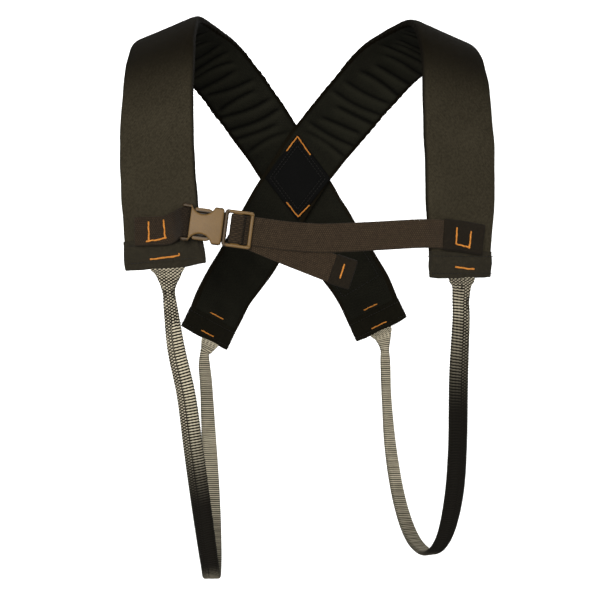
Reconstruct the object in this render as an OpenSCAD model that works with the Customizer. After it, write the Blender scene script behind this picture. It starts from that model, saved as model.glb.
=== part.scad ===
// Padded X-back shoulder harness with a chest strap and a webbing loop on each side.
// Wearer's right is -X, the front faces -Y and +Z is up.
// The origin is midway between the undersides of the two straps at the top of the shoulders.

/* [Shoulder straps] */
// Half width of the padded strap over the shoulder
strap_half = 34; // [33:0.5:35]
// Half width of the padded strap where the two cross and at the back end
strap_half_back = 32; // [30:0.5:34]
// Total thickness of the padded strap
strap_t = 8; // [7.5:0.1:8]
// Thickness of the cover and lining fabric
fabric_t = 1.1; // [0.8:0.1:1.4]
// How far the cover turns in over the lining along each edge
cover_lip = 4; // [3:0.5:6]

/* [End caps] */
// Length of an end cap along the strap
cap_len = 23.5; // [22:0.5:26]
// How much of the padded strap sits inside an end cap
cap_grip = 10.5; // [9:0.5:13]
// Fabric thickness of an end cap
cap_t = 1.3; // [1:0.1:1.5]

/* [Webbing] */
// Width of the chest webbing
web_w = 25.4; // [25:0.1:25.6]
// Thickness of the chest webbing
web_t = 1.6; // [1.4:0.1:1.6]
// Flat width of the side webbing where it is sewn into an end cap
side_w = 30; // [26:1:32]
// Thickness of the flat side webbing
side_t = 2.4; // [2:0.1:2.6]
// Half width of the side webbing once folded lengthwise
folded_half = 8.2; // [7:0.2:9]
// Half thickness of the folded side webbing
folded_t = 2.1; // [1.8:0.1:2.4]
// Radius of the bunched neck that each side loop swings on
neck_r = 5; // [4.6:0.1:5.2]

/* [Buckle] */
// Length of the female half
female_len = 34; // [33.5:0.1:35]
// Half height of both halves
buckle_half = 16.2; // [16:0.1:17]
// Half thickness of the female half
female_t = 5.5; // [5.3:0.1:5.6]
// Length of the male frame outside the female half
male_len = 26; // [25.5:0.1:27]
// Half thickness of the male frame's bars
bar_t = 1.8; // [1.6:0.1:1.8]

/* [Hidden] */
$fn = 48;

gap = 0.15;
run_gap = 0.9;
fine = 0.001;

// ---- Routes: centre, direction of the width, half width ----

// The straps run from the front hem over the shoulder, along their undersides. The left one is
// written as if it were on the right.
sh = strap_half;
sb = strap_half_back;
RIGHT_STRAP = [
    [-129, -104, -204.5, 0.93, -0.33, 0.15, sh + 2.2],
    [-132.3, -105, -168, 0.94, -0.33, 0.05, sh + 1.5],
    [-134.5, -102, -128, 0.95, -0.31, 0.02, sh + 0.6],
    [-135, -93, -88, 0.95, -0.32, 0.04, sh],
    [-134, -76, -49, 0.92, -0.36, 0.1, sh],
    [-132, -48, -17, 0.87, -0.42, 0.18, sh],
    [-127, -13, -2, 0.82, -0.44, 0.28, sh],
    [-109.8, 27, -4, 0.82, -0.34, 0.38, sh - 0.8],
    [-85.8, 62, -16, 0.81, -0.22, 0.5, sh - 1],
    [-53, 94, -51, 0.82, -0.08, 0.57, 33.5],
    [-18, 107.5, -98, 0.84, 0, 0.54, 33],
    [1, 108, -128, 0.85, 0, 0.52, sb],
    [22, 107.5, -163, 0.86, 0, 0.5, sb],
    [48, 103, -208, 0.85, -0.18, 0.48, sb],
    [69.5, 94.5, -243.5, 0.83, -0.34, 0.42, sb - 0.5],
    [81.3, 89.8, -270.5, 0.84, -0.42, 0.35, sb - 1]
];
LEFT_STRAP = mirrored([
    [-134.8, -104, -215.5, 0.93, -0.34, 0.18, sh - 2.6],
    [-134.8, -105, -175, 0.94, -0.33, 0.06, sh + 0.2],
    [-135.2, -102, -132, 0.95, -0.31, 0, sh + 1],
    [-135, -93, -90, 0.95, -0.32, 0.02, sh + 1],
    [-136, -76, -48.5, 0.92, -0.36, 0.08, sh + 0.6],
    [-134.5, -48, -15.8, 0.87, -0.42, 0.16, sh + 0.2],
    [-129.3, -13, -1.2, 0.82, -0.44, 0.26, sh],
    [-114, 27, -3.6, 0.82, -0.34, 0.38, sh],
    [-90, 60, -17, 0.81, -0.22, 0.5, sh],
    [-56.8, 83, -53, 0.82, -0.1, 0.57, 33.5],
    [-19, 96.5, -98, 0.84, 0, 0.54, 33],
    [0, 97.2, -126, 0.85, 0, 0.52, sb],
    [23, 97.5, -163, 0.86, 0, 0.5, sb],
    [50.2, 95.5, -212, 0.85, -0.18, 0.47, sb - 0.6],
    [73.8, 90, -249, 0.86, -0.34, 0.34, sb - 2],
    [88, 84.6, -279, 0.9, -0.38, 0.24, sb - 3.4]
]);
strap_rings = 40;

// A side loop's first and last rows lie on the axis that it swings about
fh = folded_half;
RIGHT_LOOP = [
    [-122, -105, -250, 1, 0, 0, neck_r],
    [-121, -104, -268, 1, 0, 0, fh],
    [-117.3, -102, -303, 0.96, -0.25, 0, fh],
    [-110, -96, -345, 0.96, -0.3, 0, 8.8],
    [-104, -85, -395, 1, -0.1, 0, 9],
    [-97, -64, -455, 1, 0.1, 0, 9],
    [-91, -38, -508, 1, 0, 0, 8.6],
    [-89, -10, -529, 1, 0, 0, 8.6],
    [-88, 16, -509, 1, 0, 0, fh],
    [-90, 42, -458, 0.94, 0.3, 0, fh],
    [-94, 66, -400, 0.86, 0.5, 0, fh],
    [-97, 78, -350, 0.8, 0.6, 0, 7.6],
    [-99, 83, -330, 0.9, 0.4, 0, 6.6],
    [-99, 85, -317, 1, 0, 0, neck_r]
];
LEFT_LOOP = [
    [137, -105, -260, 1, 0, 0, neck_r],
    [137.2, -105, -278, 1, 0, 0, fh],
    [135.6, -102, -330, 0.98, 0.2, 0, 9.2],
    [136.9, -91, -395, 0.96, 0.3, 0, 9.6],
    [137.2, -72, -444, 1, 0.2, 0, 9.4],
    [133.8, -44, -487, 0.96, 0.3, 0, 8.8],
    [125.3, -14, -508.5, 0.94, 0.35, 0, fh],
    [113.8, 16, -501.5, 0.94, 0.35, 0, fh],
    [104.6, 44, -468.5, 0.9, 0.44, 0, 8],
    [98.6, 66, -418, 0.84, 0.54, 0, 7.8],
    [96.2, 80, -365, 0.76, 0.65, 0, 7],
    [95.4, 84, -328, 0.9, 0.4, 0, 6],
    [95, 86, -312, 1, 0, 0, neck_r]
];
loop_rings = 44;

// Chest webbing from its sewn end on the left strap to just short of the male frame
ws = web_w / 2;
CHEST = [
    [155, -108.9, -205, 0.08, 0.02, 1, ws],
    [136, -116, -202.5, 0.08, 0.02, 1, ws],
    [118, -122.6, -201, 0.06, 0.02, 1, ws],
    [104, -126.6, -200.5, 0.04, 0, 1, ws],
    [88, -127.8, -201, 0.02, 0, 1, ws],
    [55, -128, -203, 0.02, 0, 1, ws],
    [15, -128.1, -205, 0.02, 0, 1, ws],
    [-5, -128.1, -204.5, 0.06, 0, 1, ws],
    [-22, -128.1, -203.2, 0.13, 0, 1, ws]
];
chest_rings = 32;

// Webbing that ties the female half down: out over the strap, round the bar and back
ANCHOR = [
    [-154.3, -107.2, -198.8, -0.07, 0.02, 1, ws],
    [-140, -112.3, -198.5, -0.07, 0.02, 1, ws],
    [-125.5, -117.5, -198, -0.05, 0.02, 1, ws],
    [-117.5, -122, -194, 0.03, 0, 1, ws],
    [-112, -125.6, -191.5, 0.12, 0, 1, ws],
    [-107.8, -127.3, -192, 0.13, 0, 1, ws],
    [-106, -128.1, -192.2, 0.13, 0, 1, ws],
    [-105.2, -129.8, -192.3, 0.13, 0, 1, ws],
    [-106, -131.5, -192.2, 0.13, 0, 1, ws],
    [-107.8, -132.3, -192, 0.13, 0, 1, ws],
    [-112, -130.6, -191.5, 0.12, 0, 1, ws],
    [-118.5, -124.6, -194.5, 0.04, 0, 1, ws],
    [-126.5, -119.3, -198, -0.05, 0.02, 1, ws],
    [-140.7, -114.2, -198.5, -0.07, 0.02, 1, ws],
    [-155, -109.1, -198.8, -0.07, 0.02, 1, ws]
];
anchor_rings = 56;

// ---- Buckle frame: x runs from the mouth towards the chest strap, z across the webbing ----

buckle_at = [-77, -131, -196];
buckle_tilt = 7.5;

// Bars of the male frame, as [start, end] along x
front_bar = [0.6, 2.6];
centre_bar = [8.4, 15.6];
outer_bar = [22.8, male_len];
rail_inner = web_w / 2 + 0.5;

// Layers of webbing behind the bars, and the bight over the centre bar
strap_layer = 2.9;
tail_layer = 4.8;
bight_layer = -(bar_t + 0.2 + web_t / 2);
SLACK = [
    [54.4, strap_layer, 0, 0, 0, 1, ws],
    [37, strap_layer, 0, 0, 0, 1, ws],
    [20.4, strap_layer, 0, 0, 0, 1, ws]
];
BIGHT = [
    [19.1, strap_layer, 0, 0, 0, 1, ws],
    [18.4, 2, 0, 0, 0, 1, ws],
    [17.6, 0, 0, 0, 0, 1, ws],
    [16.7, -2, 0, 0, 0, 1, ws],
    [15, bight_layer - 0.1, 0, 0, 0, 1, ws],
    [12, bight_layer - 0.2, 0, 0, 0, 1, ws],
    [9, bight_layer - 0.1, 0, 0, 0, 1, ws],
    [7.4, -2, 0, 0, 0, 1, ws],
    [6.9, 0, 0, 0, 0, 1, ws],
    [6.9, 2.9, 0, 0, 0, 1, ws]
];
TAIL = [
    [6.9, tail_layer, 0, 0, 0, 1, ws],
    [14, tail_layer, -0.6, 0.1, 0, 1, ws],
    [26, tail_layer, -3.8, 0.24, 0, 1, ws],
    [50, tail_layer + 0.1, -10.3, 0.26, 0, 1, ws],
    [75, tail_layer + 0.3, -16.6, 0.25, 0, 1, ws],
    [100, tail_layer + 0.6, -22.6, 0.22, 0, 1, ws],
    [117, tail_layer + 0.8, -25.8, 0.2, 0, 1, ws]
];

// Bar that the anchor webbing wraps, as [x, y]
web_bar = [-31, 1.2];
web_bar_r = 1.3;

// Finger notches of the female half
notch_x = -19.5;
notch_r = 10.6;
notch_rise = 3.7;
plate_t = 2.7;

// Pivot of each latch arm, as [x, z]
arm_pivot = [-1.5, 10.5];
arm_r = 1.8;
arm_t = 2.1;

// ---- Ribbon geometry ----

function spline(a, b, c, d, t) =
    0.5 * (2 * b + (c - a) * t + (2 * a - 5 * b + 4 * c - d) * t * t
        + (3 * b - a - 3 * c + d) * t * t * t);

// Row i of a route, continued in a straight line past either end
function row(route, i) =
    let (n = len(route) - 1)
    i < 0 ? 2 * route[0] - route[1] : i > n ? 2 * route[n] - route[n - 1] : route[i];

function along(route, u) =
    let (n = len(route) - 1, i = max(0, min(floor(u), n - 1)))
    spline(row(route, i - 1), row(route, i), row(route, i + 1), row(route, i + 2), u - i);

// A route reflected to the other side, with its faces still looking outwards
function mirrored(route) = [for (r = route) [-r[0], r[1], r[2], r[3], -r[4], -r[5], r[6]]];

function xyz(v) = [v[0], v[1], v[2]];
function unit(v) = v / norm(v);

// A frame is [centre, width direction, direction of travel, half width]
function frame_at(route, u) =
    let (
        v = along(route, u),
        travel = unit(xyz(along(route, u + fine)) - xyz(along(route, u - fine))),
        hint = [v[3], v[4], v[5]]
    )
    [xyz(v), unit(hint - travel * (hint * travel)), travel, v[6]];

function face(f) = cross(f[1], f[2]);

// The frame moved on in its direction of travel, with the same or a new half width
function moved(f, dist) = [f[0] + f[2] * dist, f[1], f[2], f[3]];
function resized(f, half) = [f[0], f[1], f[2], half];

// Frames along a route, evenly spaced, from row u0 to row u1
function frames_along(route, count, u0, u1) =
    [for (k = [0:count]) frame_at(route, u0 + (u1 - u0) * k / count)];

function whole(route, count) = frames_along(route, count, 0, len(route) - 1);

// A section corner is [side, inset from the edge, height over the centre line]
function ring(f, section) =
    [for (c = section) f[0] + f[1] * c[0] * (f[3] - c[1]) + face(f) * c[2]];

// Triangles of the quad a, b, c, d, split along its shorter diagonal so that layers nest
function split_quad(p, a, b, c, d) =
    norm(p[a] - p[c]) <= norm(p[b] - p[d]) ? [[a, b, c], [a, c, d]] : [[a, b, d], [b, c, d]];

module skin(rings) {
    m = len(rings[0]);
    n = len(rings);
    points = [for (r = rings, p = r) p];
    sides = [for (j = [0:n - 2], i = [0:m - 1])
        let (k = (i + 1) % m)
        each split_quad(points, j * m + i, j * m + k, (j + 1) * m + k, (j + 1) * m + i)];
    first = [for (i = [0:m - 1]) m - 1 - i];
    last = [for (i = [0:m - 1]) (n - 1) * m + i];
    polyhedron(points, concat([first], sides, [last]), convexity = 4);
}

module ribbon(frames, section) {
    skin([for (f = frames) ring(f, section)]);
}

// Section of a flat strip about its centre line, between two heights
function strip(low, high) = [[1, 0, low], [1, 0, high], [-1, 0, high], [-1, 0, low]];
WEB = strip(-web_t / 2, web_t / 2);

// Puts children in a frame: x across, y along the travel, z out of the face
module placed(f) {
    a = f[1];
    b = f[2];
    c = cross(a, b);
    multmatrix([
        [a[0], b[0], c[0], f[0][0]],
        [a[1], b[1], c[1], f[0][1]],
        [a[2], b[2], c[2], f[0][2]]
    ]) children();
}

module on_buckle() {
    translate(buckle_at) rotate([0, buckle_tilt, 0]) children();
}

// ---- Padded straps, with heights measured outwards from the body ----

cover_in = fabric_t + 0.1;
inner_top = strap_t - fabric_t;
COVER = [
    [1, 0, 0], [1, 0, strap_t - 1.2], [1, 1.4, strap_t],
    [-1, 1.4, strap_t], [-1, 0, strap_t - 1.2], [-1, 0, 0],
    [-1, cover_lip, 0], [-1, cover_lip, fabric_t], [-1, cover_in, fabric_t],
    [-1, cover_in, inner_top - 0.6], [-1, cover_in + 0.8, inner_top],
    [1, cover_in + 0.8, inner_top], [1, cover_in, inner_top - 0.6],
    [1, cover_in, fabric_t], [1, cover_lip, fabric_t], [1, cover_lip, 0]
];
foam_in = cover_in + gap;
foam_low = fabric_t + 2 * gap;
foam_top = inner_top - 2 * gap;
FOAM = [
    [1, foam_in, foam_low], [1, foam_in, foam_top - 0.8], [1, foam_in + 0.9, foam_top],
    [-1, foam_in + 0.9, foam_top], [-1, foam_in, foam_top - 0.8], [-1, foam_in, foam_low]
];
lining_in = cover_lip + gap;
LINING = [
    [1, lining_in, 0], [1, lining_in, fabric_t],
    [-1, lining_in, fabric_t], [-1, lining_in, 0]
];

// One layer of a strap, with a straight length at each end inside the caps
module layer(route, section) {
    frames = whole(route, strap_rings);
    ends = [moved(frames[0], -cap_grip), moved(frames[strap_rings], cap_grip)];
    ribbon(concat([ends[0]], frames, [ends[1]]), section);
}

cover_colour = [0.2, 0.18, 0.15];
foam_colour = [0.35, 0.35, 0.37];
lining_colour = [0.07, 0.07, 0.06];

module right_strap_cover() {
    color(cover_colour) layer(RIGHT_STRAP, COVER);
}

module right_strap_foam() {
    color(foam_colour) layer(RIGHT_STRAP, FOAM);
}

module right_strap_lining() {
    color(lining_colour) layer(RIGHT_STRAP, LINING);
}

module left_strap_cover() {
    color(cover_colour) layer(LEFT_STRAP, COVER);
}

module left_strap_foam() {
    color(foam_colour) layer(LEFT_STRAP, FOAM);
}

module left_strap_lining() {
    color(lining_colour) layer(LEFT_STRAP, LINING);
}

// ---- End caps ----

// The frame where a cap begins: y points off the strap's end, z away from the body
function end_frame(route, at_back) =
    let (f = frame_at(route, at_back ? len(route) - 1 : 0), dir = at_back ? 1 : -1)
    [f[0], f[1] * dir, f[2] * dir, f[3]];

cap_floor = cap_len - cap_grip;

// Fabric sleeve over the end of a strap, folded shut below it round the webbing
module end_cap(half) {
    wide = half + gap + cap_t;
    difference() {
        union() {
            translate([-wide, 0, -gap - cap_t])
                cube([2 * wide, cap_grip + gap, strap_t + 2 * (gap + cap_t)]);
            translate([-wide + 0.5, cap_grip, 0.8])
                cube([2 * wide - 1, cap_floor, strap_t - 1.6]);
        }
        translate([-half - gap, -1, -gap])
            cube([2 * (half + gap), cap_grip + 1 + gap, strap_t + 2 * gap]);
        translate([-side_w / 2 - gap, cap_grip - 1, (strap_t - side_t) / 2 - gap])
            cube([side_w + 2 * gap, cap_floor + 2, side_t + 2 * gap]);
    }
}

module strap_cap(route, at_back) {
    f = end_frame(route, at_back);
    placed(f) end_cap(f[3]);
}

cap_colour = [0.13, 0.13, 0.12];

module right_front_cap() {
    color(cap_colour) strap_cap(RIGHT_STRAP, false);
}

module right_back_cap() {
    color(cap_colour) strap_cap(RIGHT_STRAP, true);
}

module left_front_cap() {
    color(cap_colour) strap_cap(LEFT_STRAP, false);
}

module left_back_cap() {
    color(cap_colour) strap_cap(LEFT_STRAP, true);
}

// ---- Cross patch ----

patch_t = 1;
patch_y = 93.8;

// Children drawn in x and z, standing out towards the front from the given depth
module facing_front(depth) {
    translate([0, depth, 0]) rotate([90, 0, 0]) children();
}

module cross_patch() {
    color([0.09, 0.09, 0.09]) facing_front(patch_y + patch_t) linear_extrude(patch_t)
        polygon([[1, -79], [37, -127], [1, -173], [-34, -127]]);
}

// ---- Bar tacks ----

tack_w = 1.6;
tack_t = 0.8;
tack_colour = [1, 0.55, 0.1];

// Raised bar of thread from p to q on the plane z = 0
module tack(p, q) {
    run = q - p;
    linear_extrude(tack_t) {
        translate(p) circle(d = tack_w);
        translate(q) circle(d = tack_w);
        translate(p) rotate(atan2(run[1], run[0])) translate([0, -tack_w / 2])
            square([norm(run), tack_w]);
    }
}

// Tacks along each path of points
module tacks(paths) {
    for (path = paths, i = [0:len(path) - 2]) tack(path[i], path[i + 1]);
}

module cross_tacks() {
    color(tack_colour) facing_front(patch_y) tacks([
        [[-11, -98], [1, -82], [15, -102]],
        [[-11, -153], [1.5, -169], [14, -156]]
    ]);
}

tack_y = (cap_grip + cap_len) / 2;

// Tacks below a strap's end: on the outer face of a front cap, on the inner face of a back cap
module hem_tacks(route, at_back, paths) {
    placed(end_frame(route, at_back))
        translate([0, 0, at_back ? 0.8 - tack_t : strap_t - 0.8]) tacks(paths);
}

module front_hem_tacks() {
    color(tack_colour) {
        hem_tacks(RIGHT_STRAP, false, [[[-15, tack_y], [12, tack_y]]]);
        hem_tacks(LEFT_STRAP, false, [[[-12, tack_y], [8, tack_y]]]);
    }
}

module back_hem_tacks() {
    color(tack_colour) {
        hem_tacks(RIGHT_STRAP, true, [[[-9, tack_y], [10, tack_y]]]);
        hem_tacks(LEFT_STRAP, true, [[[-8, tack_y], [8, tack_y]]]);
    }
}

// ---- Side webbing ----

side_colour = [0.45, 0.43, 0.38];

// Middle of the side webbing at the bottom of the padding, inside a cap
function web_start(route, at_back) =
    let (f = end_frame(route, at_back))
    [f[0] + f[2] * (cap_grip + 2 * gap) + face(f) * strap_t / 2, f[1], f[2], side_w / 2];

// Where a side loop's leg begins, with y pointing up out of the loop
function neck(loop, at_back) =
    let (f = frame_at(loop, at_back ? len(loop) - 1 : 0), dir = at_back ? 1 : -1)
    [f[0], f[1] * dir, f[2] * dir, neck_r];

// Flat webbing sewn into a cap, gathered below it to the width of the neck
module web_end(start, neck) {
    steps = 8;
    hem = moved(start, cap_floor);
    top = neck[0] + neck[2] * (neck_r + run_gap);
    flip = hem[1] * neck[1] < 0 ? -1 : 1;
    gathered = [for (k = [1:steps])
        let (
            t = k / steps,
            s = t * t * (3 - 2 * t),
            down = unit(hem[2] * (1 - s) - neck[2] * s),
            across = unit(hem[1] * (1 - s) + neck[1] * flip * s)
        )
        [hem[0] + (top - hem[0]) * t, across, down, hem[3] * (1 - s) + (neck_r - 0.4) * s]];
    frames = concat([start, hem], gathered);
    skin([for (i = [0:len(frames) - 1])
        let (s = max(0, i - 1) / steps, t = side_t / 2 * (1 - s) + folded_t * s)
        ring(frames[i], strip(-t, t))]);
}

module right_front_web_end() {
    color(side_colour) web_end(web_start(RIGHT_STRAP, false), neck(RIGHT_LOOP, false));
}

module right_back_web_end() {
    color(side_colour) web_end(web_start(LEFT_STRAP, true), neck(RIGHT_LOOP, true));
}

module left_front_web_end() {
    color(side_colour) web_end(web_start(LEFT_STRAP, false), neck(LEFT_LOOP, false));
}

module left_back_web_end() {
    color(side_colour) web_end(web_start(RIGHT_STRAP, true), neck(LEFT_LOOP, true));
}

// Rounded ends that turn about the necks, as distances past the axis
neck_steps = [0.96 * neck_r, 0.8 * neck_r, 0.5 * neck_r];

// Folded webbing from the front neck down round the bottom and up to the back neck
module side_loop(route) {
    body = whole(route, loop_rings);
    start = [for (d = neck_steps) resized(moved(body[0], -d), sqrt(neck_r ^ 2 - d ^ 2))];
    end = [for (i = [len(neck_steps) - 1:-1:0])
        let (d = neck_steps[i])
        resized(moved(body[loop_rings], d), sqrt(neck_r ^ 2 - d ^ 2))];
    ribbon(concat(start, body, end), [
        [1, 0.8, -folded_t], [1, 0, -folded_t / 3], [1, 0, folded_t / 3], [1, 0.8, folded_t],
        [-1, 0.8, folded_t], [-1, 0, folded_t / 3], [-1, 0, -folded_t / 3], [-1, 0.8, -folded_t]
    ]);
}

module right_side_loop() {
    color(side_colour) side_loop(RIGHT_LOOP);
}

module left_side_loop() {
    color(side_colour) side_loop(LEFT_LOOP);
}

// ---- Chest strap and its anchors ----

web_colour = [0.22, 0.19, 0.16];
anchor_rows = 2.05;

module chest_strap() {
    color(web_colour) ribbon(whole(CHEST, chest_rings), WEB);
}

// Length of webbing that bunches up when the buckle comes apart
module chest_strap_slack() {
    color(web_colour) on_buckle() ribbon(whole(SLACK, 4), WEB);
}

// Fabric sewn over the end of the chest strap, a little wider than it
patch_rise = web_t / 2 + gap;
patch_over = 1;

module left_anchor_patch() {
    frames = frames_along(CHEST, 6, -0.1, anchor_rows);
    color(cap_colour) ribbon(
        [for (f = frames) resized(f, f[3] + patch_over)],
        strip(patch_rise, patch_rise + fabric_t)
    );
}

// U of thread in the face of a flat piece of webbing, centred on a row of its route
module u_tack(route, u, height, paths) {
    placed(frame_at(route, u)) translate([0, 0, height]) tacks(paths);
}

module left_anchor_tacks() {
    color(tack_colour) u_tack(CHEST, 1, patch_rise + fabric_t + gap, [
        [[6, 7], [-9, 7], [-9, -7], [6, -7]]
    ]);
}

module right_anchor_web() {
    color(web_colour) ribbon(whole(ANCHOR, anchor_rings), WEB);
}

module right_anchor_tacks() {
    color(tack_colour) u_tack(ANCHOR, len(ANCHOR) - 2, web_t / 2 + gap, [
        [[8, 1], [-8, 1], [-8, -14], [8, -14]]
    ]);
}

// ---- Buckle ----

buckle_colour = [0.4, 0.32, 0.22];

// Extrudes an outline in x and z, from y = low to y = high
module slab(low, high) {
    translate([0, high, 0]) rotate([90, 0, 0]) linear_extrude(high - low) children();
}

module rounded(x0, x1, z, r) {
    hull_x = x1 - x0 - 2 * r;
    translate([x0 + r, -z]) square([hull_x, 2 * z]);
    translate([x0, -z + r]) square([x1 - x0, 2 * (z - r)]);
    for (x = [x0 + r, x1 - r], s = [-1, 1]) translate([x, s * (z - r)]) circle(r);
}

module female_outline() {
    difference() {
        rounded(-female_len, 0, buckle_half, 1.5);
        for (s = [-1, 1]) translate([notch_x, s * (buckle_half + notch_rise)]) circle(notch_r);
    }
}

module buckle_female() {
    inner = female_t - plate_t;
    side = ws + 0.9;
    color(buckle_colour) on_buckle() {
        difference() {
            slab(-female_t, female_t) female_outline();
            translate([web_bar[0] + 3, -inner, -side]) cube([female_len, 2 * inner, 2 * side]);
            translate([-female_len - 1, -inner, -side]) cube([9, female_t + inner + 1, 2 * side]);
        }
        translate([web_bar[0], web_bar[1], -side - 0.4]) cylinder(r = web_bar_r, h = 2 * side + 0.8);
    }
}

module buckle_male() {
    color(buckle_colour) on_buckle() {
        slab(-bar_t, bar_t) difference() {
            rounded(front_bar[0], male_len, buckle_half, 2.2);
            translate([front_bar[1], -rail_inner])
                square([centre_bar[0] - front_bar[1], 2 * rail_inner]);
            translate([centre_bar[1], -rail_inner])
                square([outer_bar[0] - centre_bar[1], 2 * rail_inner]);
        }
        // Centre guide that runs up the middle of the female half
        slab(-1.5, 1.5) polygon([
            [front_bar[0] + 0.1, -3.4], [-17, -2.6], [-20, -1.6], [-20, 1.6], [-17, 2.6],
            [front_bar[0] + 0.1, 3.4]
        ]);
    }
}

// Sprung arm written for the upper side; s = -1 gives the lower one
module latch_arm(s) {
    color(buckle_colour) on_buckle() slab(-arm_t, arm_t) scale([1, s]) {
        translate(arm_pivot) circle(arm_r);
        polygon([
            [-1.5, 8.7], [-1.5, 12.3], [-10.4, 12.3], [-13, 14.4], [-24, 14.4],
            [-26.6, 12.6], [-26.9, 9.6], [-24.4, 8.4], [-12, 8.1]
        ]);
    }
}

module latch_arm_upper() {
    latch_arm(1);
}

module latch_arm_lower() {
    latch_arm(-1);
}

// Webbing over the centre bar of the ladder
module ladder_web() {
    color(web_colour) on_buckle() ribbon(whole(BIGHT, 24), WEB);
}

module strap_tail() {
    color(web_colour) on_buckle() ribbon(whole(TAIL, 20), WEB);
}

// End of the tail folded over itself so that it can't slip out of the ladder
stop_len = 18;

module tail_stop() {
    over = web_t / 2 + gap;
    color(cap_colour) on_buckle() placed(frame_at(TAIL, len(TAIL) - 1))
        rotate([90, 0, 90]) translate([0, 0, -ws - 0.3]) linear_extrude(web_w + 0.6)
            difference() {
                translate([-stop_len, -over - web_t]) square([stop_len + 2, 2 * (over + web_t)]);
                translate([-stop_len - 1, -over]) square([stop_len + 1 + gap, 2 * over]);
            }
}

module tail_tack() {
    color(tack_colour) on_buckle() placed(frame_at(TAIL, len(TAIL) - 1))
        translate([0, 0, -web_t * 1.5 - gap - tack_t]) tacks([[[-6, -8], [7, -8]]]);
}

right_strap_cover();
right_strap_foam();
right_strap_lining();
left_strap_cover();
left_strap_foam();
left_strap_lining();
right_front_cap();
right_back_cap();
left_front_cap();
left_back_cap();
cross_patch();
cross_tacks();
front_hem_tacks();
back_hem_tacks();
right_front_web_end();
right_back_web_end();
left_front_web_end();
left_back_web_end();
right_side_loop();
left_side_loop();
chest_strap();
chest_strap_slack();
left_anchor_patch();
left_anchor_tacks();
right_anchor_web();
right_anchor_tacks();
buckle_female();
buckle_male();
latch_arm_upper();
latch_arm_lower();
ladder_web();
strap_tail();
tail_stop();
tail_tack();
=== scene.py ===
"""The harness's looks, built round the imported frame. Shapes are worked out in mm and stored in metres."""

import math

import bmesh
import bpy
import numpy as np
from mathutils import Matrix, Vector


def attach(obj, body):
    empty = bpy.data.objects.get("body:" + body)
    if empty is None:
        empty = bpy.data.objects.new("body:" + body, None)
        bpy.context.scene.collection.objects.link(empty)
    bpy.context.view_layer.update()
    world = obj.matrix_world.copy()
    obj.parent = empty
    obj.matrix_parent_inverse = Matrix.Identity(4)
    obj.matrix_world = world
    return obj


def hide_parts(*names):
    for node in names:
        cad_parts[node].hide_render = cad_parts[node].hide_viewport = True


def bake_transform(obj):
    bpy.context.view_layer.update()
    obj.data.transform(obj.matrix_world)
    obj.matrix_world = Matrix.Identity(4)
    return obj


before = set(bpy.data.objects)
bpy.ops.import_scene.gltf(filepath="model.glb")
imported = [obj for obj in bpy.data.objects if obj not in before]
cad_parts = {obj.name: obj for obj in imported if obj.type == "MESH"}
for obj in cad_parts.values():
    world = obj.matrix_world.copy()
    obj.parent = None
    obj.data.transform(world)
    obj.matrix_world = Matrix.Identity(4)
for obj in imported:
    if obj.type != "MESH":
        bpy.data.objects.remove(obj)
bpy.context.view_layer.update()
MM = 0.001

# ---- Camera ----

CAMERA_DISTANCE = 1.05
CAMERA_HEIGHT = -0.259
CAMERA_ASIDE = -0.002
CAMERA_AZIMUTH = math.radians(3.5)
CAMERA_LENS = 63.4


def add_camera():
    data = bpy.data.cameras.new("camera")
    data.lens = CAMERA_LENS
    data.sensor_width = 36
    camera = bpy.data.objects.new("camera", data)
    right = (math.cos(CAMERA_AZIMUTH), -math.sin(CAMERA_AZIMUTH))
    forward = (math.sin(CAMERA_AZIMUTH), math.cos(CAMERA_AZIMUTH))
    camera.location = [
        -CAMERA_DISTANCE * forward[i] + CAMERA_ASIDE * right[i] for i in (0, 1)
    ] + [CAMERA_HEIGHT]
    camera.rotation_euler = (math.pi / 2, 0, -CAMERA_AZIMUTH)
    bpy.context.scene.collection.objects.link(camera)
    bpy.context.scene.camera = camera


add_camera()

# ---- Routes: centre, direction of the width, half width ----
# They are the CAD's, but the right loop starts about 3 mm further out.

WEB_HALF = 12.7
WEB_THICK = 1.6
CAP_LEN = 23.5
STRAP_THICK = 8.0


def mirrored(rows):
    return [[-x, y, z, a, -b, -c, half] for x, y, z, a, b, c, half in rows]


def webbing(rows):
    """Rows of flat webbing, which is as wide all the way."""
    return [[*row, WEB_HALF] for row in rows]


RIGHT_STRAP = [
    [-129, -104, -204.5, 0.93, -0.33, 0.15, 36.2],
    [-132.3, -105, -168, 0.94, -0.33, 0.05, 35.5],
    [-134.5, -102, -128, 0.95, -0.31, 0.02, 34.6],
    [-135, -93, -88, 0.95, -0.32, 0.04, 34],
    [-134, -76, -49, 0.92, -0.36, 0.1, 34],
    [-132, -48, -17, 0.87, -0.42, 0.18, 34],
    [-127, -13, -2, 0.82, -0.44, 0.28, 34],
    [-109.8, 27, -4, 0.82, -0.34, 0.38, 33.2],
    [-85.8, 62, -16, 0.81, -0.22, 0.5, 33],
    [-53, 94, -51, 0.82, -0.08, 0.57, 33.5],
    [-18, 107.5, -98, 0.84, 0, 0.54, 33],
    [1, 108, -128, 0.85, 0, 0.52, 32],
    [22, 107.5, -163, 0.86, 0, 0.5, 32],
    [48, 103, -208, 0.85, -0.18, 0.48, 32],
    [69.5, 94.5, -243.5, 0.83, -0.34, 0.42, 31.5],
    [81.3, 89.8, -270.5, 0.84, -0.42, 0.35, 31],
]
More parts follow.
